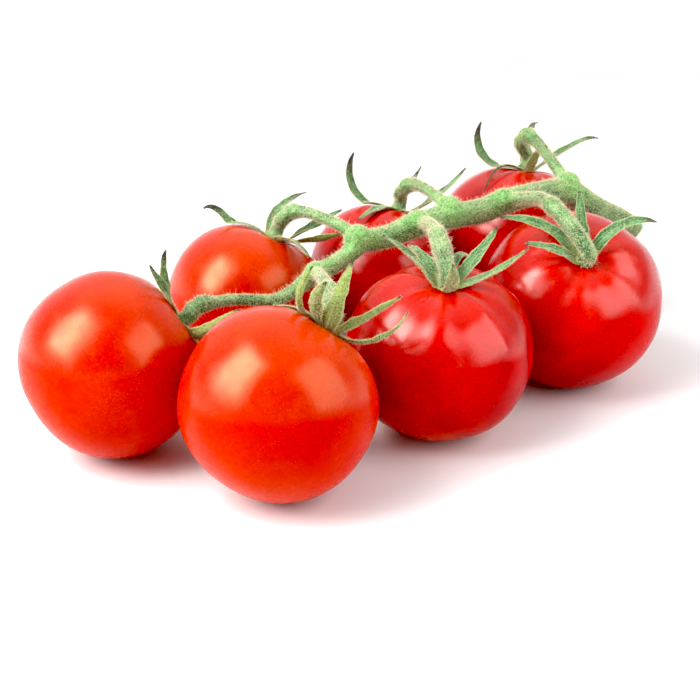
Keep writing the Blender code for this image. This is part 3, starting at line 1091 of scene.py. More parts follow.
    def sheet(self) -> tuple[dict[str, np.ndarray], Faces]:
        """Joins the blades around the hub into one open sheet.

        Returns:
            The sheet's points with the values that the finish reads, and its faces.
        """
        keys = ("thick", "along", "across", "vein", "dry", "root", "length", "offset")
        points = [np.array(((0.0, 0.0, self.hub_height),))]
        values = {key: [np.zeros(1)] for key in keys}
        values["thick"][0] = np.array((self.thickness,))
        values["root"][0] = np.ones(1)
        faces: Faces = []
        ring: list[int] = []
        total = 1
        for index in range(len(self.sepals)):
            blade = self.blade_sheet(index)
            points.append(blade["points"].reshape(-1, 3))
            for key in keys:
                values[key].append(blade[key].ravel())
            for station in range(self.stations):
                for step in range(self.across - 1):
                    near = total + station * self.across + step
                    far = near + self.across
                    faces.append((near, far, far + 1, near + 1))
            ring.extend(range(total, total + self.across))
            total += (self.stations + 1) * self.across
        cloud = np.vstack(points)
        flat = {key: np.concatenate(values[key]) for key in keys}
        outer = ring
        centre = cloud[0]
        for step in range(1, self.hub_rings):
            share = 1 - step / self.hub_rings
            inner_points = centre + (cloud[ring] - centre) * share
            inner_points[:, 2] += self.hub_rise * (1 - share) ** 1.5
            inner = list(range(total, total + len(ring)))
            total += len(ring)
            cloud = np.vstack((cloud, inner_points))
            for key in keys:
                fill = {"thick": self.thickness, "root": 1.0}.get(key, 0.0)
                flat[key] = np.concatenate((flat[key], np.full(len(ring), fill)))
            faces.extend(self.band(outer, inner))
            outer = inner
        cloud[0, 2] += self.hub_rise
        faces.extend((0, here, after) for here, after in zip(outer, outer[1:] + outer[:1]))
        flat["points"] = cloud
        return flat, faces

    @staticmethod
    def band(outer: list[int], inner: list[int]) -> Faces:
        """Faces between two rings of the hub."""
        pairs = zip(outer, outer[1:] + outer[:1], inner, inner[1:] + inner[:1])
        return [(one, two, four, three) for one, two, three, four in pairs]

    def mesh(self) -> bpy.types.Mesh:
        """Thickens the sheet to both sides and closes it along its outline."""
        flat, faces = self.sheet()
        local = flat["points"]
        guide = new_mesh("calyx_sheet", local, faces, 1.0)
        normals = mesh_normals(guide)
        bpy.data.meshes.remove(guide)
        count = len(local)
        lift = normals * (flat["thick"] / 2)[:, None]
        rib = normals * (self.rib_depth * flat["vein"] * (flat["along"] > 0.02))[:, None]
        cloud = np.vstack((local + lift, local - lift - rib))
        below = [tuple(index + count for index in reversed(face)) for face in faces]
        closed: Faces = list(faces) + below
        uses: dict[tuple[int, int], tuple[int, int]] = {}
        for face in faces:
            for one, other in zip(face, face[1:] + face[:1]):
                key = (min(one, other), max(one, other))
                uses[key] = (0, 0) if key in uses else (one, other)
        rims = [pair for pair in uses.values() if pair[0] != pair[1]]
        closed.extend((one, one + count, other + count, other) for one, other in rims)
        world = self.fruit.to_world(cloud) + FOOTPRINT_SHIFT
        mesh = new_mesh(f"calyx_{self.fruit.name}", world, closed)
        for key in ("across", "vein", "dry", "root"):
            add_value(mesh, key, np.tile(flat[key], 2))
        add_value(mesh, "under", np.repeat((0.0, 1.0), count))
        # painted shade: marks the parts that face down for darker green
        facing_up = mesh_normals(mesh)[:, 2]
        add_value(mesh, "low", 1 - smoothstep(self.painted_shade_from, self.painted_shade_to, facing_up))
        lengthwise = flat["length"] * self.grain_stretch
        grain = np.stack((lengthwise, flat["offset"], np.zeros(count)), axis=-1) * MM
        add_vector(mesh, "grain", np.tile(grain, (2, 1)))
        return mesh

    def build(self, material: bpy.types.Material) -> bpy.types.Object:
        """Makes the calyx and fixes it to the truss."""
        name = self.fruit.name
        return place_piece(f"sepals_{name}", self.mesh(), material, (f"calyx_{name}",))


# ---------------------------------------------------------------- the vine


@dataclass
class Vine:
    """The main stem with its upper stalks, and the lower stalks from the knuckles to the fruit."""

    calyces: dict[str, Calyx]
    main_route: np.ndarray
    bud_route: np.ndarray
    upper_routes: dict[str, np.ndarray]
    lower_routes: dict[str, np.ndarray]
    joint_gap: float = 0.3
    joint_swell: float = 0.84  # over the stalk's thickness
    knuckle_swell: float = 0.26
    knuckle_reach: float = 2.4
    crease: float = 0.16
    crease_reach: float = 0.35
    elbow: float = 1.6
    foot_thickness: float = 4.6
    foot_rise: float = 0.7
    foot_length: float = 4.0
    foot_flare: float = 0.42
    foot_flare_reach: float = 1.3
    ridge_depth: float = 0.035
    lump_depth: float = 0.018
    ball_offset: float = 1.2  # of a joint's ball along its stalk
    ball_extra: float = 0.6
    coarse_relief: tuple[float, float] = (0.05, 2.6)  # depth and pitch
    fine_relief: tuple[float, float] = (0.03, 1.1)
    grain_stretch: float = 0.12
    # where the painted shade on the parts that face down is darkest, and where it ends
    painted_shade_from: float = -0.6
    painted_shade_to: float = 0.3
    joint_fresh: tuple[float, float] = (7.5, 0.85)  # reach and strength of the fresh green
    knuckle_fresh: tuple[float, float] = (3.6, 0.45)
    painted_brown_shade_at: float = 66.0  # where the painted brownish shade is along the stem
    painted_brown_shade_reach: float = 9.0
    cut_reach: float = 6.0
    voxel: float = 0.3
    smoothing: int = 7
    segments: int = 28
    lower_segments: int = 36
    lower_spacing: float = 0.3
    steps: int = 14

    def foot(self, name: str) -> np.ndarray:
        """The last two rows of a stalk, straight down onto its calyx."""
        calyx = self.calyces[name]
        top = calyx.hub_height + calyx.thickness / 2 + self.joint_gap + self.foot_rise
        local = np.array(((0.0, 0.0, top + self.foot_length), (0.0, 0.0, top - 0.9)))
        world = calyx.fruit.to_world(local)
        return np.column_stack((world, (self.foot_thickness, self.foot_thickness)))

    def stalk(self, name: str) -> tuple[np.ndarray, np.ndarray]:
        """Samples one stalk, split at its knuckle.

        Args:
            name: Which fruit it carries.

        Returns:
            The rows above and below the knuckle.
        """
        upper = self.upper_routes.get(name, self.main_route)
        lower = np.vstack((self.lower_routes[name], self.foot(name)))
        knuckle = upper[-1]
        before = self.beside(knuckle, upper[-2])
        after = self.beside(knuckle, lower[0])
        route = np.vstack((upper[:-1], before, knuckle, after, lower))
        rows = catmull_rom(route, self.steps)
        cut = len(upper) * self.steps
        held = rows[cut].copy()
        rows = relax(rows, 6)
        rows[cut] = held
        rows = relax(rows, 2)
        return rows[: cut + 1], rows[cut:]

    def beside(self, knuckle: np.ndarray, towards: np.ndarray) -> np.ndarray:
        """Keeps a knuckle's bend short.

        Args:
            knuckle: The knuckle's row.
            towards: The next row on one side.

        Returns:
            A row a little way from the knuckle towards the next one.
        """
        apart = np.linalg.norm(towards[:3] - knuckle[:3])
        row = knuckle + (towards - knuckle) * self.elbow / apart
        row[3] = knuckle[3]
        return row

    def ridges(self, seed: int) -> Callable[[np.ndarray, np.ndarray], np.ndarray]:
        """Shapes a stem with lengthwise ridges and slow unevenness.

        Args:
            seed: What sets this stem apart from the others.

        Returns:
            A profile for a tube.
        """

        def shape(along: np.ndarray, around: np.ndarray) -> np.ndarray:
            """Radii over half the thickness."""
            drift = 0.5 * np.sin(along / 17 + seed)
            ridge = np.cos(5 * around + seed + drift) + 0.6 * np.cos(3 * around + 2 * seed - drift)
            lump = np.sin(along / 2.3 + seed) * np.cos(around + seed)
            lump = lump + np.sin(along / 4.1 + 2 * seed)
            return 1 + self.ridge_depth * ridge + self.lump_depth * lump

        return shape

    def with_knuckle(self, at_end: bool, length: float, seed: int) -> Callable:
        """Shapes a stem with a swollen, creased knuckle, and a flare at a lower stalk's foot.

        Args:
            at_end: Whether the knuckle is at the last row, not the first.
            length: Length of the stem.
            seed: What sets this stem apart from the others.

        Returns:
            A profile for a tube.
        """
        plain = self.ridges(seed)

        def shape(along: np.ndarray, around: np.ndarray) -> np.ndarray:
            """Radii over half the thickness."""
            away = length - along if at_end else along
            swell = self.knuckle_swell * np.exp(-((away / self.knuckle_reach) ** 2))
            crease = self.crease * np.exp(-((away / self.crease_reach) ** 2))
            foot = np.exp(-(((length - along) / self.foot_flare_reach) ** 2))
            flare = 0.0 if at_end else self.foot_flare * foot
            return plain(along, around) + swell - crease + flare

        return shape

    def joint_ball(self, centre: np.ndarray, radius: float) -> tuple[Points, Faces]:
        """Makes a rough ball that thickens the stem where a stalk grows out of it.

        Args:
            centre: Its middle.
            radius: Its radius.

        Returns:
            Its points and faces.
        """
        rows = []
        for height in np.linspace(-0.97, 0.97, 11):
            middle = centre + np.array((0, 0, radius * height))
            rows.append((*middle, 2 * radius * math.sqrt(1 - height * height)))
        return tube(np.array(rows), 16, lambda along, around: np.ones(np.broadcast(along, around).shape))

    def trunk_mesh(self) -> bpy.types.Mesh:
        """Grows the main stem and the upper stalks together into one smooth skin."""
        shells = []
        centre_rows = []
        for seed, name in enumerate(self.calyces):
            upper, _ = self.stalk(name)
            length = arc_lengths(upper)[-1]
            shells.append(tube(upper, self.segments, self.with_knuckle(True, length, seed)))
            centre_rows.append(upper)
        bud = catmull_rom(self.bud_route, self.steps)
        shells.append(tube(bud, 16, self.ridges(3)))
        centre_rows.append(bud)
        for route in self.upper_routes.values():
            direction = unit(route[1, :3] - route[0, :3])
            centre = route[0, :3] + direction * self.ball_offset
            shells.append(self.joint_ball(centre, self.joint_swell * route[0, 3] + self.ball_extra))
        points, faces, start = [], [], 0
        for shell_points, shell_faces in shells:
            points.append(shell_points)
            faces.extend(tuple(index + start for index in face) for face in shell_faces)
            start += len(shell_points)
        rough = new_mesh("trunk_rough", np.vstack(points), faces, 1.0)
        guide = bpy.data.objects.new("trunk_rough", rough)
        bpy.context.scene.collection.objects.link(guide)
        remesh = guide.modifiers.new("grow", "REMESH")
        remesh.mode = "VOXEL"
        remesh.voxel_size = self.voxel
        soften = guide.modifiers.new("soften", "SMOOTH")
        soften.factor = 0.5
        soften.iterations = self.smoothing
        evaluated = guide.evaluated_get(bpy.context.evaluated_depsgraph_get())
        grown = bpy.data.meshes.new_from_object(evaluated)
        bpy.data.objects.remove(guide)
        bpy.data.meshes.remove(rough)
        return self.dressed(grown, centre_rows)

    def dressed(self, mesh: bpy.types.Mesh, centre_rows: list[np.ndarray]) -> bpy.types.Mesh:
        """Adds the fine relief and the values that the finish reads, and scales to metres.

        Args:
            mesh: The stem's skin, in millimetres.
            centre_rows: The sampled routes inside it.

        Returns:
            The finished mesh.
        """
        points = mesh_points(mesh)
        normals = mesh_normals(mesh)
        lengths, sides, tops = [], [], []
        for rows in centre_rows:
            _, side, top = carried_frames(rows)
            lengths.append(arc_lengths(rows))
            sides.append(side)
            tops.append(top)
        rows = np.vstack(centre_rows)
        tree = KDTree(len(rows))
        for index, row in enumerate(rows):
            tree.insert(Vector(row[:3]), index)
        tree.balance()
        nearest = np.array([tree.find(Vector(point))[1] for point in points])
        away = points - rows[nearest, :3]
        side, top = np.vstack(sides)[nearest], np.vstack(tops)[nearest]
        local = np.stack(
            (
                np.concatenate(lengths)[nearest] * self.grain_stretch,
                np.einsum("ij,ij->i", away, side),
                np.einsum("ij,ij->i", away, top),
            ),
            axis=-1,
        )
        coarse_depth, coarse_pitch = self.coarse_relief
        fine_depth, fine_pitch = self.fine_relief
        relief = coarse_depth * wander(points, coarse_pitch, 5, 24)
        relief = relief + fine_depth * wander(points, fine_pitch, 9, 30)
        points = points + normals * relief[:, None]
        placed = (points + FOOTPRINT_SHIFT) * MM
        mesh.vertices.foreach_set("co", placed.astype(np.float32).ravel())
        mesh.update()
        mesh.shade_smooth()
        add_vector(mesh, "grain", local * MM)
        add_value(mesh, "fresh", self.freshness(points))
        # painted shade: brownish on the stem's underside below a stalk's joint
        add_value(mesh, "painted_brown_shade", self.painted_brown_shade(points, normals))
        # painted shade: marks the parts that face down for darker green
        add_value(mesh, "low", 1 - smoothstep(self.painted_shade_from, self.painted_shade_to, normals[:, 2]))
        end = self.main_route[0, :3]
        inward = unit(self.main_route[1, :3] - end)
        depth = (points - end) @ inward
        near = np.linalg.norm(points - end, axis=1) < self.cut_reach
        add_value(mesh, "cut", near * (1 - smoothstep(0.1, 0.45, depth)))
        return mesh

    def freshness(self, points: np.ndarray) -> np.ndarray:
        """Finds how fresh a green the stem has: bright at its joints and knuckles.

        Args:
            points: Places on the stem.

        Returns:
            0 for its usual green to 1 for the freshest, for each point.
        """
        spots = [(route[0, :3], *self.joint_fresh) for route in self.upper_routes.values()]
        spots += [(route[-1, :3], *self.knuckle_fresh) for route in self.upper_routes.values()]
        fresh = np.zeros(len(points))
        for centre, reach, strength in spots:
            distance = np.linalg.norm(points - centre, axis=1)
            fresh = np.maximum(fresh, strength * np.exp(-((distance / reach) ** 2)))
        return fresh

    def painted_brown_shade(self, points: np.ndarray, normals: np.ndarray) -> np.ndarray:
        """Finds the painted brownish shade on the stem's underside, below a stalk's joint.

        Args:
            points: Places on the stem.
            normals: Outward directions there.

        Returns:
            How brown it is, for each point.
        """
        below = smoothstep(0.2, 0.85, -normals[:, 2])
        middle = np.exp(-(((points[:, 0] - self.painted_brown_shade_at) / self.painted_brown_shade_reach) ** 2))
        return 0.7 * below * middle

    def lower_mesh(self, name: str, seed: int) -> bpy.types.Mesh:
        """Builds the stalk from its knuckle down to its calyx.

        Args:
            name: Which fruit it carries.
            seed: What sets this stalk apart from the others.

        Returns:
            The finished mesh.
        """
        _, rows = self.stalk(name)
        at = arc_lengths(rows)
        length = at[-1]
        even = np.linspace(0, length, int(length / self.lower_spacing) + 2)
        rows = np.column_stack([np.interp(even, at, rows[:, column]) for column in range(4)])
        points, faces = tube(rows, self.lower_segments, self.with_knuckle(False, length, seed))
        mesh = new_mesh(f"stalk_{name}", points, faces, 1.0)
        return self.dressed(mesh, [rows])

    def build(self, material: bpy.types.Material) -> list[bpy.types.Object]:
        """Makes the whole vine and fixes it to the truss."""
        pieces = [place_piece("vine", self.trunk_mesh(), material, ("main_stem",))]
        for seed, name in enumerate(self.calyces):
            mesh, node = self.lower_mesh(name, seed), f"stalk_{name}"
            pieces.append(place_piece(f"pedicel_{name}", mesh, material, (node,)))
        return pieces


# ---------------------------------------------------------------- the down


@dataclass
class Down:
    """Fine, pale hairs that stand all over a green piece."""

    seed: int
    per_area: float  # hairs on a square millimetre
    length: float
    long_share: float = 0.06
    long_length: float = 1.5
    thickness: float = 0.12
    sunk: float = 0.05  # how deep a hair's foot is in the skin
    least_stray: float = 0.15  # how far hairs lean away from straight out
    most_stray: float = 0.75
    most: int = 48000

    def roots(self, piece: bpy.types.Object) -> tuple[np.ndarray, np.ndarray]:
        """Scatters roots over a piece.

        Args:
            piece: What the hairs grow on.

        Returns:
            Root points in millimetres and outward directions.
        """
        mesh = piece.data
        mesh.calc_loop_triangles()
        corners = np.zeros(len(mesh.loop_triangles) * 3, np.int32)
        mesh.loop_triangles.foreach_get("vertices", corners)
        corners = corners.reshape(-1, 3)
        points, normals = mesh_points(mesh) / MM, mesh_normals(mesh)
        one, two, three = (points[corners[:, index]] for index in range(3))
        areas = np.linalg.norm(np.cross(two - one, three - one), axis=1) / 2
        draw = np.random.default_rng(self.seed)
        count = min(self.most, int(areas.sum() * self.per_area))
        chosen = draw.choice(len(areas), count, p=areas / areas.sum())
        first, second = draw.random(count), draw.random(count)
        folded = first + second > 1
        first[folded], second[folded] = 1 - first[folded], 1 - second[folded]
        weights = np.stack((1 - first - second, first, second), axis=-1)[..., None]
        spots = (points[corners[chosen]] * weights).sum(axis=1)
        outward = unit((normals[corners[chosen]] * weights).sum(axis=1))
        return spots, outward

    def mesh(self, name: str, piece: bpy.types.Object) -> bpy.types.Mesh:
        """Builds the hairs as slender three-sided spikes.

        Args:
            name: Name of the mesh.
            piece: What the hairs grow on.

        Returns:
            The hairs' mesh.
        """
        spots, outward = self.roots(piece)
        draw = np.random.default_rng(self.seed + 1)
        count = len(spots)
        stray = unit(draw.normal(size=(count, 3)))
        way = unit(outward + stray * draw.uniform(self.least_stray, self.most_stray, (count, 1)))
        length = self.length * draw.uniform(0.5, 1.5, count)
        long_ones = draw.random(count) < self.long_share
        length = np.where(long_ones, self.long_length * draw.uniform(0.6, 1.3, count), length)
        side = unit(np.cross(way, stray + 0.01))
        top = np.cross(way, side)
        corners = []
        for turn in range(3):
            angle = math.tau * turn / 3
            off = (side * math.cos(angle) + top * math.sin(angle)) * self.thickness / 2
            corners.append(spots - way * self.sunk + off)
        tips = spots + way * length[:, None]
        cloud = np.stack((*corners, tips), axis=1).reshape(-1, 3)
        base = np.arange(count)[:, None] * 4
        spikes = np.stack(((0, 1, 3), (1, 2, 3), (2, 0, 3), (0, 2, 1)))
        faces = (base[:, None] + spikes[None]).reshape(-1, 3)
        return new_mesh(name, cloud, [tuple(face) for face in faces.tolist()])

    def build(
        self, piece: bpy.types.Object, material: bpy.types.Material, slot: Slot
    ) -> bpy.types.Object:
        """Grows the hairs on a piece and fixes them to the truss."""
        name = f"down_{piece.name}"
        return place_piece(name, self.mesh(name, piece), material)


# ---------------------------------------------------------------- the studio


@dataclass
class Softbox:
    """A large, soft lamp that faces the truss."""

    name: str
    direction: tuple[float, float, float]
    distance: float
    width: float
    height: float
    radiance: float
    colour: Colour = (1.0, 1.0, 1.0)

    def build(self, target: Vector) -> bpy.types.Object:
        """Hangs the lamp.

        Args:
            target: What it faces.

        Returns:
            The lamp.
        """
        lamp = bpy.data.lights.new(self.name, "AREA")
        lamp.shape = "RECTANGLE"
        lamp.size, lamp.size_y = self.width, self.height
        lamp.energy = self.radiance * math.pi * self.width * self.height
        lamp.color = self.colour
        made = bpy.data.objects.new(self.name, lamp)
        bpy.context.scene.collection.objects.link(made)
        way = Vector(self.direction).normalized()
        made.location = target + way * self.distance
        made.rotation_euler = way.to_track_quat("Z", "Y").to_euler()
        return made


@dataclass
class Studio:
    """Table, lamps, surroundings and camera. Lengths are in metres."""

    softboxes: tuple[Softbox, ...]
    table: TableFinish
    table_size: float = 14.0
    table_drop: float = 2e-4  # of the table top under the fruit's flats
    aim_height: float = 0.035
    camera_place: tuple[float, float, float] = (-0.2160, -0.3507, 0.1996)
    camera_right: tuple[float, float, float] = (0.8660, -0.5, 0.0)
    camera_up: tuple[float, float, float] = (0.2034, 0.3523, 0.9135)
    lens: float = 64.3
    overhead_strength: float = 0.35
    black_level: float = 0.026
    overhead_way: tuple[float, float, float] = (0.1, 0.25, 1.0)
    backdrop: float = 0.75
    room: float = 0.13
    backdrop_way: tuple[float, float, float] = (0.47, 0.82, 0.33)
    horizon_band: tuple[float, float] = (0.10, 0.24)  # sines of heights where the cove fades
    horizon_glow: float = 1.1
    overhead_spread: float = 70
    sensor: float = 36.0
    nearest: float = 0.01

    def build(self) -> None:
        """Makes everything that isn't the truss."""
        half = self.table_size / 2
        square = ((-half, -half), (half, -half), (half, half), (-half, half))
        corners = np.array([(*corner, -self.table_drop) for corner in square])
        mesh = new_mesh("table_top", corners, [(0, 1, 2, 3)], 1.0)
        mesh.materials.append(self.table.make())
        table = bpy.data.objects.new("table_top", mesh)
        bpy.context.scene.collection.objects.link(table)
        target = Vector((0.0, 0.0, self.aim_height))
        for softbox in self.softboxes:
            softbox.build(target)
        self.overhead()
        self.surroundings()
        self.camera()
        self.film()
        LOG.info("studio: %d lamps", len(self.softboxes))

    def film(self) -> None:
        """Plain colours with clean blacks."""
        look = bpy.context.scene.view_settings
        look.view_transform = "Standard"
        look.use_curve_mapping = True
        look.curve_mapping.black_level = (self.black_level,) * 3
        look.curve_mapping.update()

    def surroundings(self) -> None:
        """White backdrop behind the truss, in a dimmer room."""
        world = bpy.data.worlds.new("white_room")
        bpy.context.scene.world = world
        world.use_nodes = True
        tree = world.node_tree
        place = tree.nodes.new("ShaderNodeTexCoord")
        facing = tree.nodes.new("ShaderNodeVectorMath")
        facing.operation = "DOT_PRODUCT"
        facing.inputs[1].default_value = Vector(self.backdrop_way).normalized()
        ramp = self.smooth_ramp(tree, (-0.1, 0.9, self.room, self.backdrop))
        height = tree.nodes.new("ShaderNodeSeparateXYZ")
        horizon = self.smooth_ramp(tree, (*self.horizon_band, self.horizon_glow, 0.0))
        brighter = tree.nodes.new("ShaderNodeMath")
        brighter.operation = "MAXIMUM"
        tree.links.new(place.outputs["Generated"], facing.inputs[0])
        tree.links.new(place.outputs["Generated"], height.inputs[0])
        tree.links.new(facing.outputs["Value"], ramp.inputs["Value"])
        tree.links.new(height.outputs["Z"], horizon.inputs["Value"])
        tree.links.new(ramp.outputs["Result"], brighter.inputs[0])
        tree.links.new(horizon.outputs["Result"], brighter.inputs[1])
        tree.links.new(brighter.outputs[0], tree.nodes["Background"].inputs["Strength"])
        tree.nodes["Background"].inputs["Color"].default_value = (1.0, 1.0, 1.0, 1.0)

    @staticmethod
    def smooth_ramp(tree: bpy.types.NodeTree, numbers: tuple[float, ...]) -> bpy.types.Node:
        """Adds a smooth ramp.

        Args:
            tree: The world's nodes.
            numbers: Where it starts and ends, and what it gives there.

        Returns:
            The ramp's node.
        """
        node = tree.nodes.new("ShaderNodeMapRange")
        node.interpolation_type = "SMOOTHSTEP"
        for key, number in zip(("From Min", "From Max", "To Min", "To Max"), numbers):
            node.inputs[key].default_value = number
        return node

    def overhead(self) -> None:
        """A very soft light from straight above, which evens out the table."""
        lamp = bpy.data.lights.new("overhead", "SUN")
        lamp.energy = self.overhead_strength
        lamp.angle = math.radians(self.overhead_spread)
        made = bpy.data.objects.new("overhead", lamp)
        bpy.context.scene.collection.objects.link(made)
        made.rotation_euler = Vector(self.overhead_way).to_track_quat("Z", "Y").to_euler()

    def camera(self) -> None:
        """Looks down on the truss from the front left."""
        lens = bpy.data.cameras.new("camera")
        lens.lens = self.lens
        lens.sensor_width = self.sensor
        lens.clip_start = self.nearest
        made = bpy.data.objects.new("camera", lens)
        right, up = Vector(self.camera_right).normalized(), Vector(self.camera_up).normalized()
        turn = Matrix((right, up, right.cross(up))).transposed().to_4x4()
        made.matrix_world = Matrix.Translation(self.camera_place) @ turn
        bpy.context.scene.collection.objects.link(made)
        bpy.context.scene.camera = made


# ---------------------------------------------------------------- this truss


ORANGE, DEEP = Slot.SKIN_ORANGE_RED, Slot.SKIN_DEEP_RED

# Name, x, y, radius, height share, tip share, lean, its direction, lobes, their depth and turn,
# dimple, fine ribs, their depth, slot, seed
TOMATOES = (
    Tomato("tip", -93.2, 0.6, 30.5, 0.93, 0.95, 63, -9, 6, 0.010, 20, 4.8, 9, 0.05, ORANGE, 1),
    Tomato("front_left", -58.8, -51.2, 30.5, 0.91, 1.00, 39, 1, 6, 0.010, 0, 2.8, 9, 0.05, ORANGE, 2),
    Tomato("back_left", -27.8, 35.8, 29.5, 0.91, 0.94, 28, 2, 5, 0.014, 35, 3.6, 10, 0.10, ORANGE, 3),
    Tomato("front_middle", 7.1, -39.5, 31.8, 0.90, 0.90, 13, -111, 7, 0.030, 190, 3.2, 13, 0.40, DEEP, 4),
    Tomato("back_middle", 32.0, 37.8, 29.1, 0.92, 0.92, 22, 20, 6, 0.026, 15, 3.4, 12, 0.22, DEEP, 5),
    Tomato("front_right", 70.9, -30.0, 33.0, 0.88, 0.90, 38, -116, 6, 0.030, 25, 3.4, 11, 0.28, DEEP, 6),
    Tomato("back_right", 95.3, 35.6, 32.8, 0.93, 0.93, 13, 30, 5, 0.034, 0, 2.3, 11, 0.30, DEEP, 7),
)

# Azimuth, swerve, lift at start and end, length, width, dry share, hook, twist
SEPALS = {
    "tip": (
        Sepal(138, 10, 14, 38, 21.5, 5.4, 0.14, 20, -50),
        Sepal(-175, -22, 19, -10, 23.0, 4.8, 0.14, 20, -50),
        Sepal(-96, -66, 2, 108, 27.5, 5.2, 0.08),
        Sepal(-20, 10, 10, 25, 21.0, 5.0),
        Sepal(62, -6, 0, -35, 18.0, 4.6),
    ),
    "front_left": (
        Sepal(169, 65, -12, 96, 24.0, 3.4),
        Sepal(-166, 53, 20, 42, 23.0, 5.4),
        Sepal(-128, -44, 34, 85, 25.5, 6.4),
        Sepal(-73, 7, 50, 65, 24.5, 5.6),
        Sepal(-40, 26, 2, 100, 26.5, 5.6, 0.05, 0, -20),
        Sepal(45, 15, 5, -45, 20.0, 5.0),
        Sepal(112, 5, 5, -45, 20.0, 5.0),
    ),
    "back_left": (
        Sepal(152, -4, -20, 48, 25.5, 4.6, 0.25, -110, -60),
        Sepal(84, -82, 44, 36, 31.0, 4.8, 0.22),
        Sepal(-100, 26, 26, -24, 24.5, 5.0),
        Sepal(-44, 4, 52, 52, 25.5, 5.0, 0.06, 0, 60),
        Sepal(0, -16, 16, 40, 26.0, 4.6, 0.1, 0, -65),
    ),
    "front_middle": (
        Sepal(152, -15, 60, 28, 25.0, 4.6),
        Sepal(92, -10, 25, -20, 22.0, 5.0),
        Sepal(48, -30, 30, -50, 23.5, 4.6, 0.14),
        Sepal(6, 10, 32, 44, 23.0, 5.4),
        Sepal(-34, 20, 20, 46, 27.0, 3.8),
        Sepal(-107, -35, 50, 67, 20.0, 4.8),
    ),
    "back_middle": (
        Sepal(159, -16, -18, 106, 32.0, 5.2, 0.22, 0, -60),
        Sepal(63, -70, 31, 78, 25.5, 5.0, 0.2),
        Sepal(-20, -17, 36, 67, 30.0, 5.0, 0.1, 0, 30),
        Sepal(-150, -12, 9, -42, 23.5, 5.0),
        Sepal(-89, -24, 0, 16, 22.5, 5.0),
    ),
    "front_right": (
        Sepal(155, 5, 45, 12, 22.5, 4.4),
        Sepal(112, 42, 28, -10, 31.0, 5.2),
        Sepal(70, -2, 8, 28, 22.0, 5.4, 0.03),
        Sepal(26, -55, 60, -20, 27.5, 5.0, 0.14),
    ),
    "back_right": (
        Sepal(146, -8, -22, 112, 30.5, 5.4, 0.22, 0, -60),
        Sepal(-108, 0, 46, 43, 15.5, 4.6, 0.02),
        Sepal(-24, -15, 42, 34, 29.5, 5.0, 0.14, -40, 30),
        Sepal(-172, 22, 24, -70, 27.0, 1.6, 0.6),
        Sepal(62, -34, 52, 46, 29.0, 4.4, 0.3, -60),
    ),
}

# Rows of x, y, z, thickness. The main stem goes from its cut end to the tip's knuckle.
MAIN_STEM_ROUTE = (
    (129.8, 3.0, 37.8, 8.2),
    (126.6, 3.0, 40.6, 8.4),
    (117.2, 3.0, 46.2, 8.6),
    (105.9, 3.0, 52.2, 8.6),
    (93.6, 3.0, 59.8, 9.4),
    (80.4, 2.8, 60.7, 8.6),
    (71.0, 2.4, 60.9, 8.2),
    (61.4, 2.0, 60.2, 9.2),
    (53.0, 1.6, 58.8, 8.4),
    (45.4, 1.0, 58.8, 8.6),
    (37.5, 1.0, 59.5, 9.6),
    (30.0, 0.4, 59.0, 8.6),
    (22.0, 0.0, 58.6, 9.0),
    (13.0, 0.0, 56.5, 8.0),
    (5.0, -0.6, 56.2, 7.6),
    (-1.2, -1.0, 56.6, 7.6),
    (-7.0, -2.0, 52.9, 6.2),
    (-13.5, -3.0, 50.8, 6.0),
    (-20.7, -4.0, 49.4, 6.0),
    (-25.6, -3.5, 46.2, 4.8),
    (-31.0, -3.0, 43.4, 4.2),
    (-36.4, -2.0, 42.0, 4.2),
    (-43.0, -1.5, 43.3, 3.6),
    (-50.0, -1.0, 44.7, 3.4),
    (-56.5, -1.5, 45.4, 3.8),
    (-61.7, -2.0, 46.0, 4.6),
)
BUD_STUB_ROUTE = ((-35.8, -2.6, 41.6, 4.0), (-35.3, -3.4, 39.6, 3.6), (-35.1, -3.9, 38.0, 2.6))

# Each stalk from its joint on the main stem to its knuckle
UPPER_STALK_ROUTES = {
    "front_left": (
        (-20.7, -4.0, 49.8, 3.8),
        (-23.9, -12.0, 52.6, 3.6),
        (-28.0, -23.0, 54.9, 3.6),
        (-31.4, -33.0, 55.4, 4.4),
    ),
    "back_left": (
        (-1.2, -1.0, 57.1, 5.0),
        (-4.3, 4.0, 60.5, 4.0),
        (-7.3, 13.0, 62.1, 3.8),
        (-9.8, 22.0, 62.5, 4.0),
        (-12.1, 28.6, 61.5, 4.6),
    ),
    "front_middle": (
        (23.0, 0.0, 59.4, 4.6),
        (21.8, -7.0, 61.4, 4.2),
        (17.2, -19.0, 64.0, 4.2),
        (13.2, -28.0, 64.4, 4.9),
    ),
    "back_middle": (
        (37.8, 1.0, 61.2, 5.0),
        (37.4, 7.0, 63.8, 4.0),
        (38.5, 16.0, 64.7, 3.8),
        (39.2, 26.0, 64.4, 4.0),
        (38.9, 31.5, 62.8, 4.6),
    ),
    "front_right": (
        (61.4, 2.0, 61.1, 4.6),
        (64.0, -6.0, 63.6, 4.4),
        (62.6, -19.0, 67.4, 4.4),
        (60.4, -29.0, 67.7, 5.1),
    ),
    "back_right": (
        (94.2, 3.0, 61.6, 5.0),
        (94.9, 9.0, 64.8, 4.4),
        (96.2, 18.0, 68.8, 4.2),
        (96.9, 27.0, 72.8, 4.4),
        (96.2, 33.0, 74.8, 5.2),
    ),
}
# Each stalk from below its knuckle to above its calyx
LOWER_STALK_ROUTES = {
    "tip": ((-66.0, -2.3, 44.8, 4.8),),
    "front_left": ((-36.2, -41.6, 55.2, 5.2),),
    "back_left": ((-14.6, 32.4, 57.4, 5.0),),
    "front_middle": ((9.8, -35.4, 62.6, 6.2),),
    "back_middle": ((38.6, 36.5, 58.4, 4.8),),
    "front_right": ((60.6, -36.6, 64.6, 5.8),),
    "back_right": ((96.4, 37.4, 70.4, 5.2),),
}

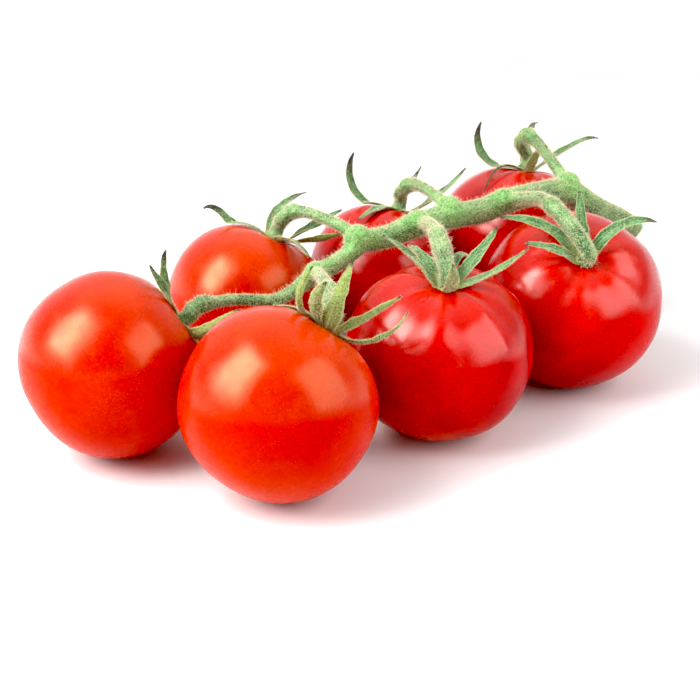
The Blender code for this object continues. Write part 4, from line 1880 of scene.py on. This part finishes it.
SKINS = {
    ORANGE: SkinFinish(
        "tomato_skin_orange_red",
        body=(0.60, 0.024, 0.001),
        deep=(0.54, 0.009, 0.001),
        shoulder=(0.74, 0.050, 0.001),
        blossom_end=(0.62, 0.034, 0.001),
        dot=(0.95, 0.20, 0.02),
        gloss_tint=(1.0, 0.62, 0.3),
        gloss=0.85,
        roughness=0.27,
        wax=0.12,
        wax_roughness=0.25,
    ),
    DEEP: SkinFinish(
        "tomato_skin_deep_red",
        body=(0.58, 0.003, 0.003),
        deep=(0.40, 0.001, 0.003),
        shoulder=(0.72, 0.014, 0.002),
        blossom_end=(0.64, 0.12, 0.008),
        dot=(0.90, 0.12, 0.03),
        gloss_tint=(1.0, 0.66, 0.6),
        gloss=0.85,
        roughness=0.23,
        wax=0.14,
        wax_roughness=0.2,
    ),
}

SOFTBOXES = (
    Softbox("key_left", (-0.70, 0.02, 0.62), 0.95, 0.72, 0.95, 3.5),
    Softbox("key_core", (-0.70, 0.06, 0.63), 0.90, 0.40, 0.62, 9.0),
    Softbox("fill_right", (0.48, -0.70, 0.56), 1.0, 0.92, 0.90, 3.1),
)


FIRST_STEM_SEED, FIRST_SEPAL_SEED = 31, 71


def build_truss() -> None:
    """Builds every piece of the truss, in order."""
    stem, sepal = StemFinish("green_stem").make(), SepalFinish("green_sepal").make()
    down = DownFinish("pale_down").make()
    skins = {slot: finish.make() for slot, finish in SKINS.items()}
    calyces = {}
    for tomato in TOMATOES:
        tomato.build(skins[tomato.slot])
        leaves = tuple(sorted(SEPALS[tomato.name], key=lambda leaf: leaf.azimuth))
        calyces[tomato.name] = Calyx(tomato, leaves)
    vine = Vine(
        calyces,
        np.array(MAIN_STEM_ROUTE),
        np.array(BUD_STUB_ROUTE),
        {name: np.array(route) for name, route in UPPER_STALK_ROUTES.items()},
        {name: np.array(route) for name, route in LOWER_STALK_ROUTES.items()},
    )
    for number, piece in enumerate(vine.build(stem)):
        hairs = Down(FIRST_STEM_SEED + number, 6.5, 0.62, 0.08, 2.0)
        hairs.build(piece, down, Slot.STEM)
    for number, calyx in enumerate(calyces.values()):
        piece = calyx.build(sepal)
        hairs = Down(FIRST_SEPAL_SEED + number, 7.0, 0.45, 0.04, 0.9, thickness=0.09, most=24000)
        hairs.build(piece, down, Slot.SEPAL)


def main() -> None:
    """Builds the truss and its studio."""
    logging.basicConfig(level=logging.INFO, format="%(name)s %(message)s")
    build_truss()
    Studio(SOFTBOXES, TableFinish("pale_table")).build()


if __name__ == "__main__":
    main()
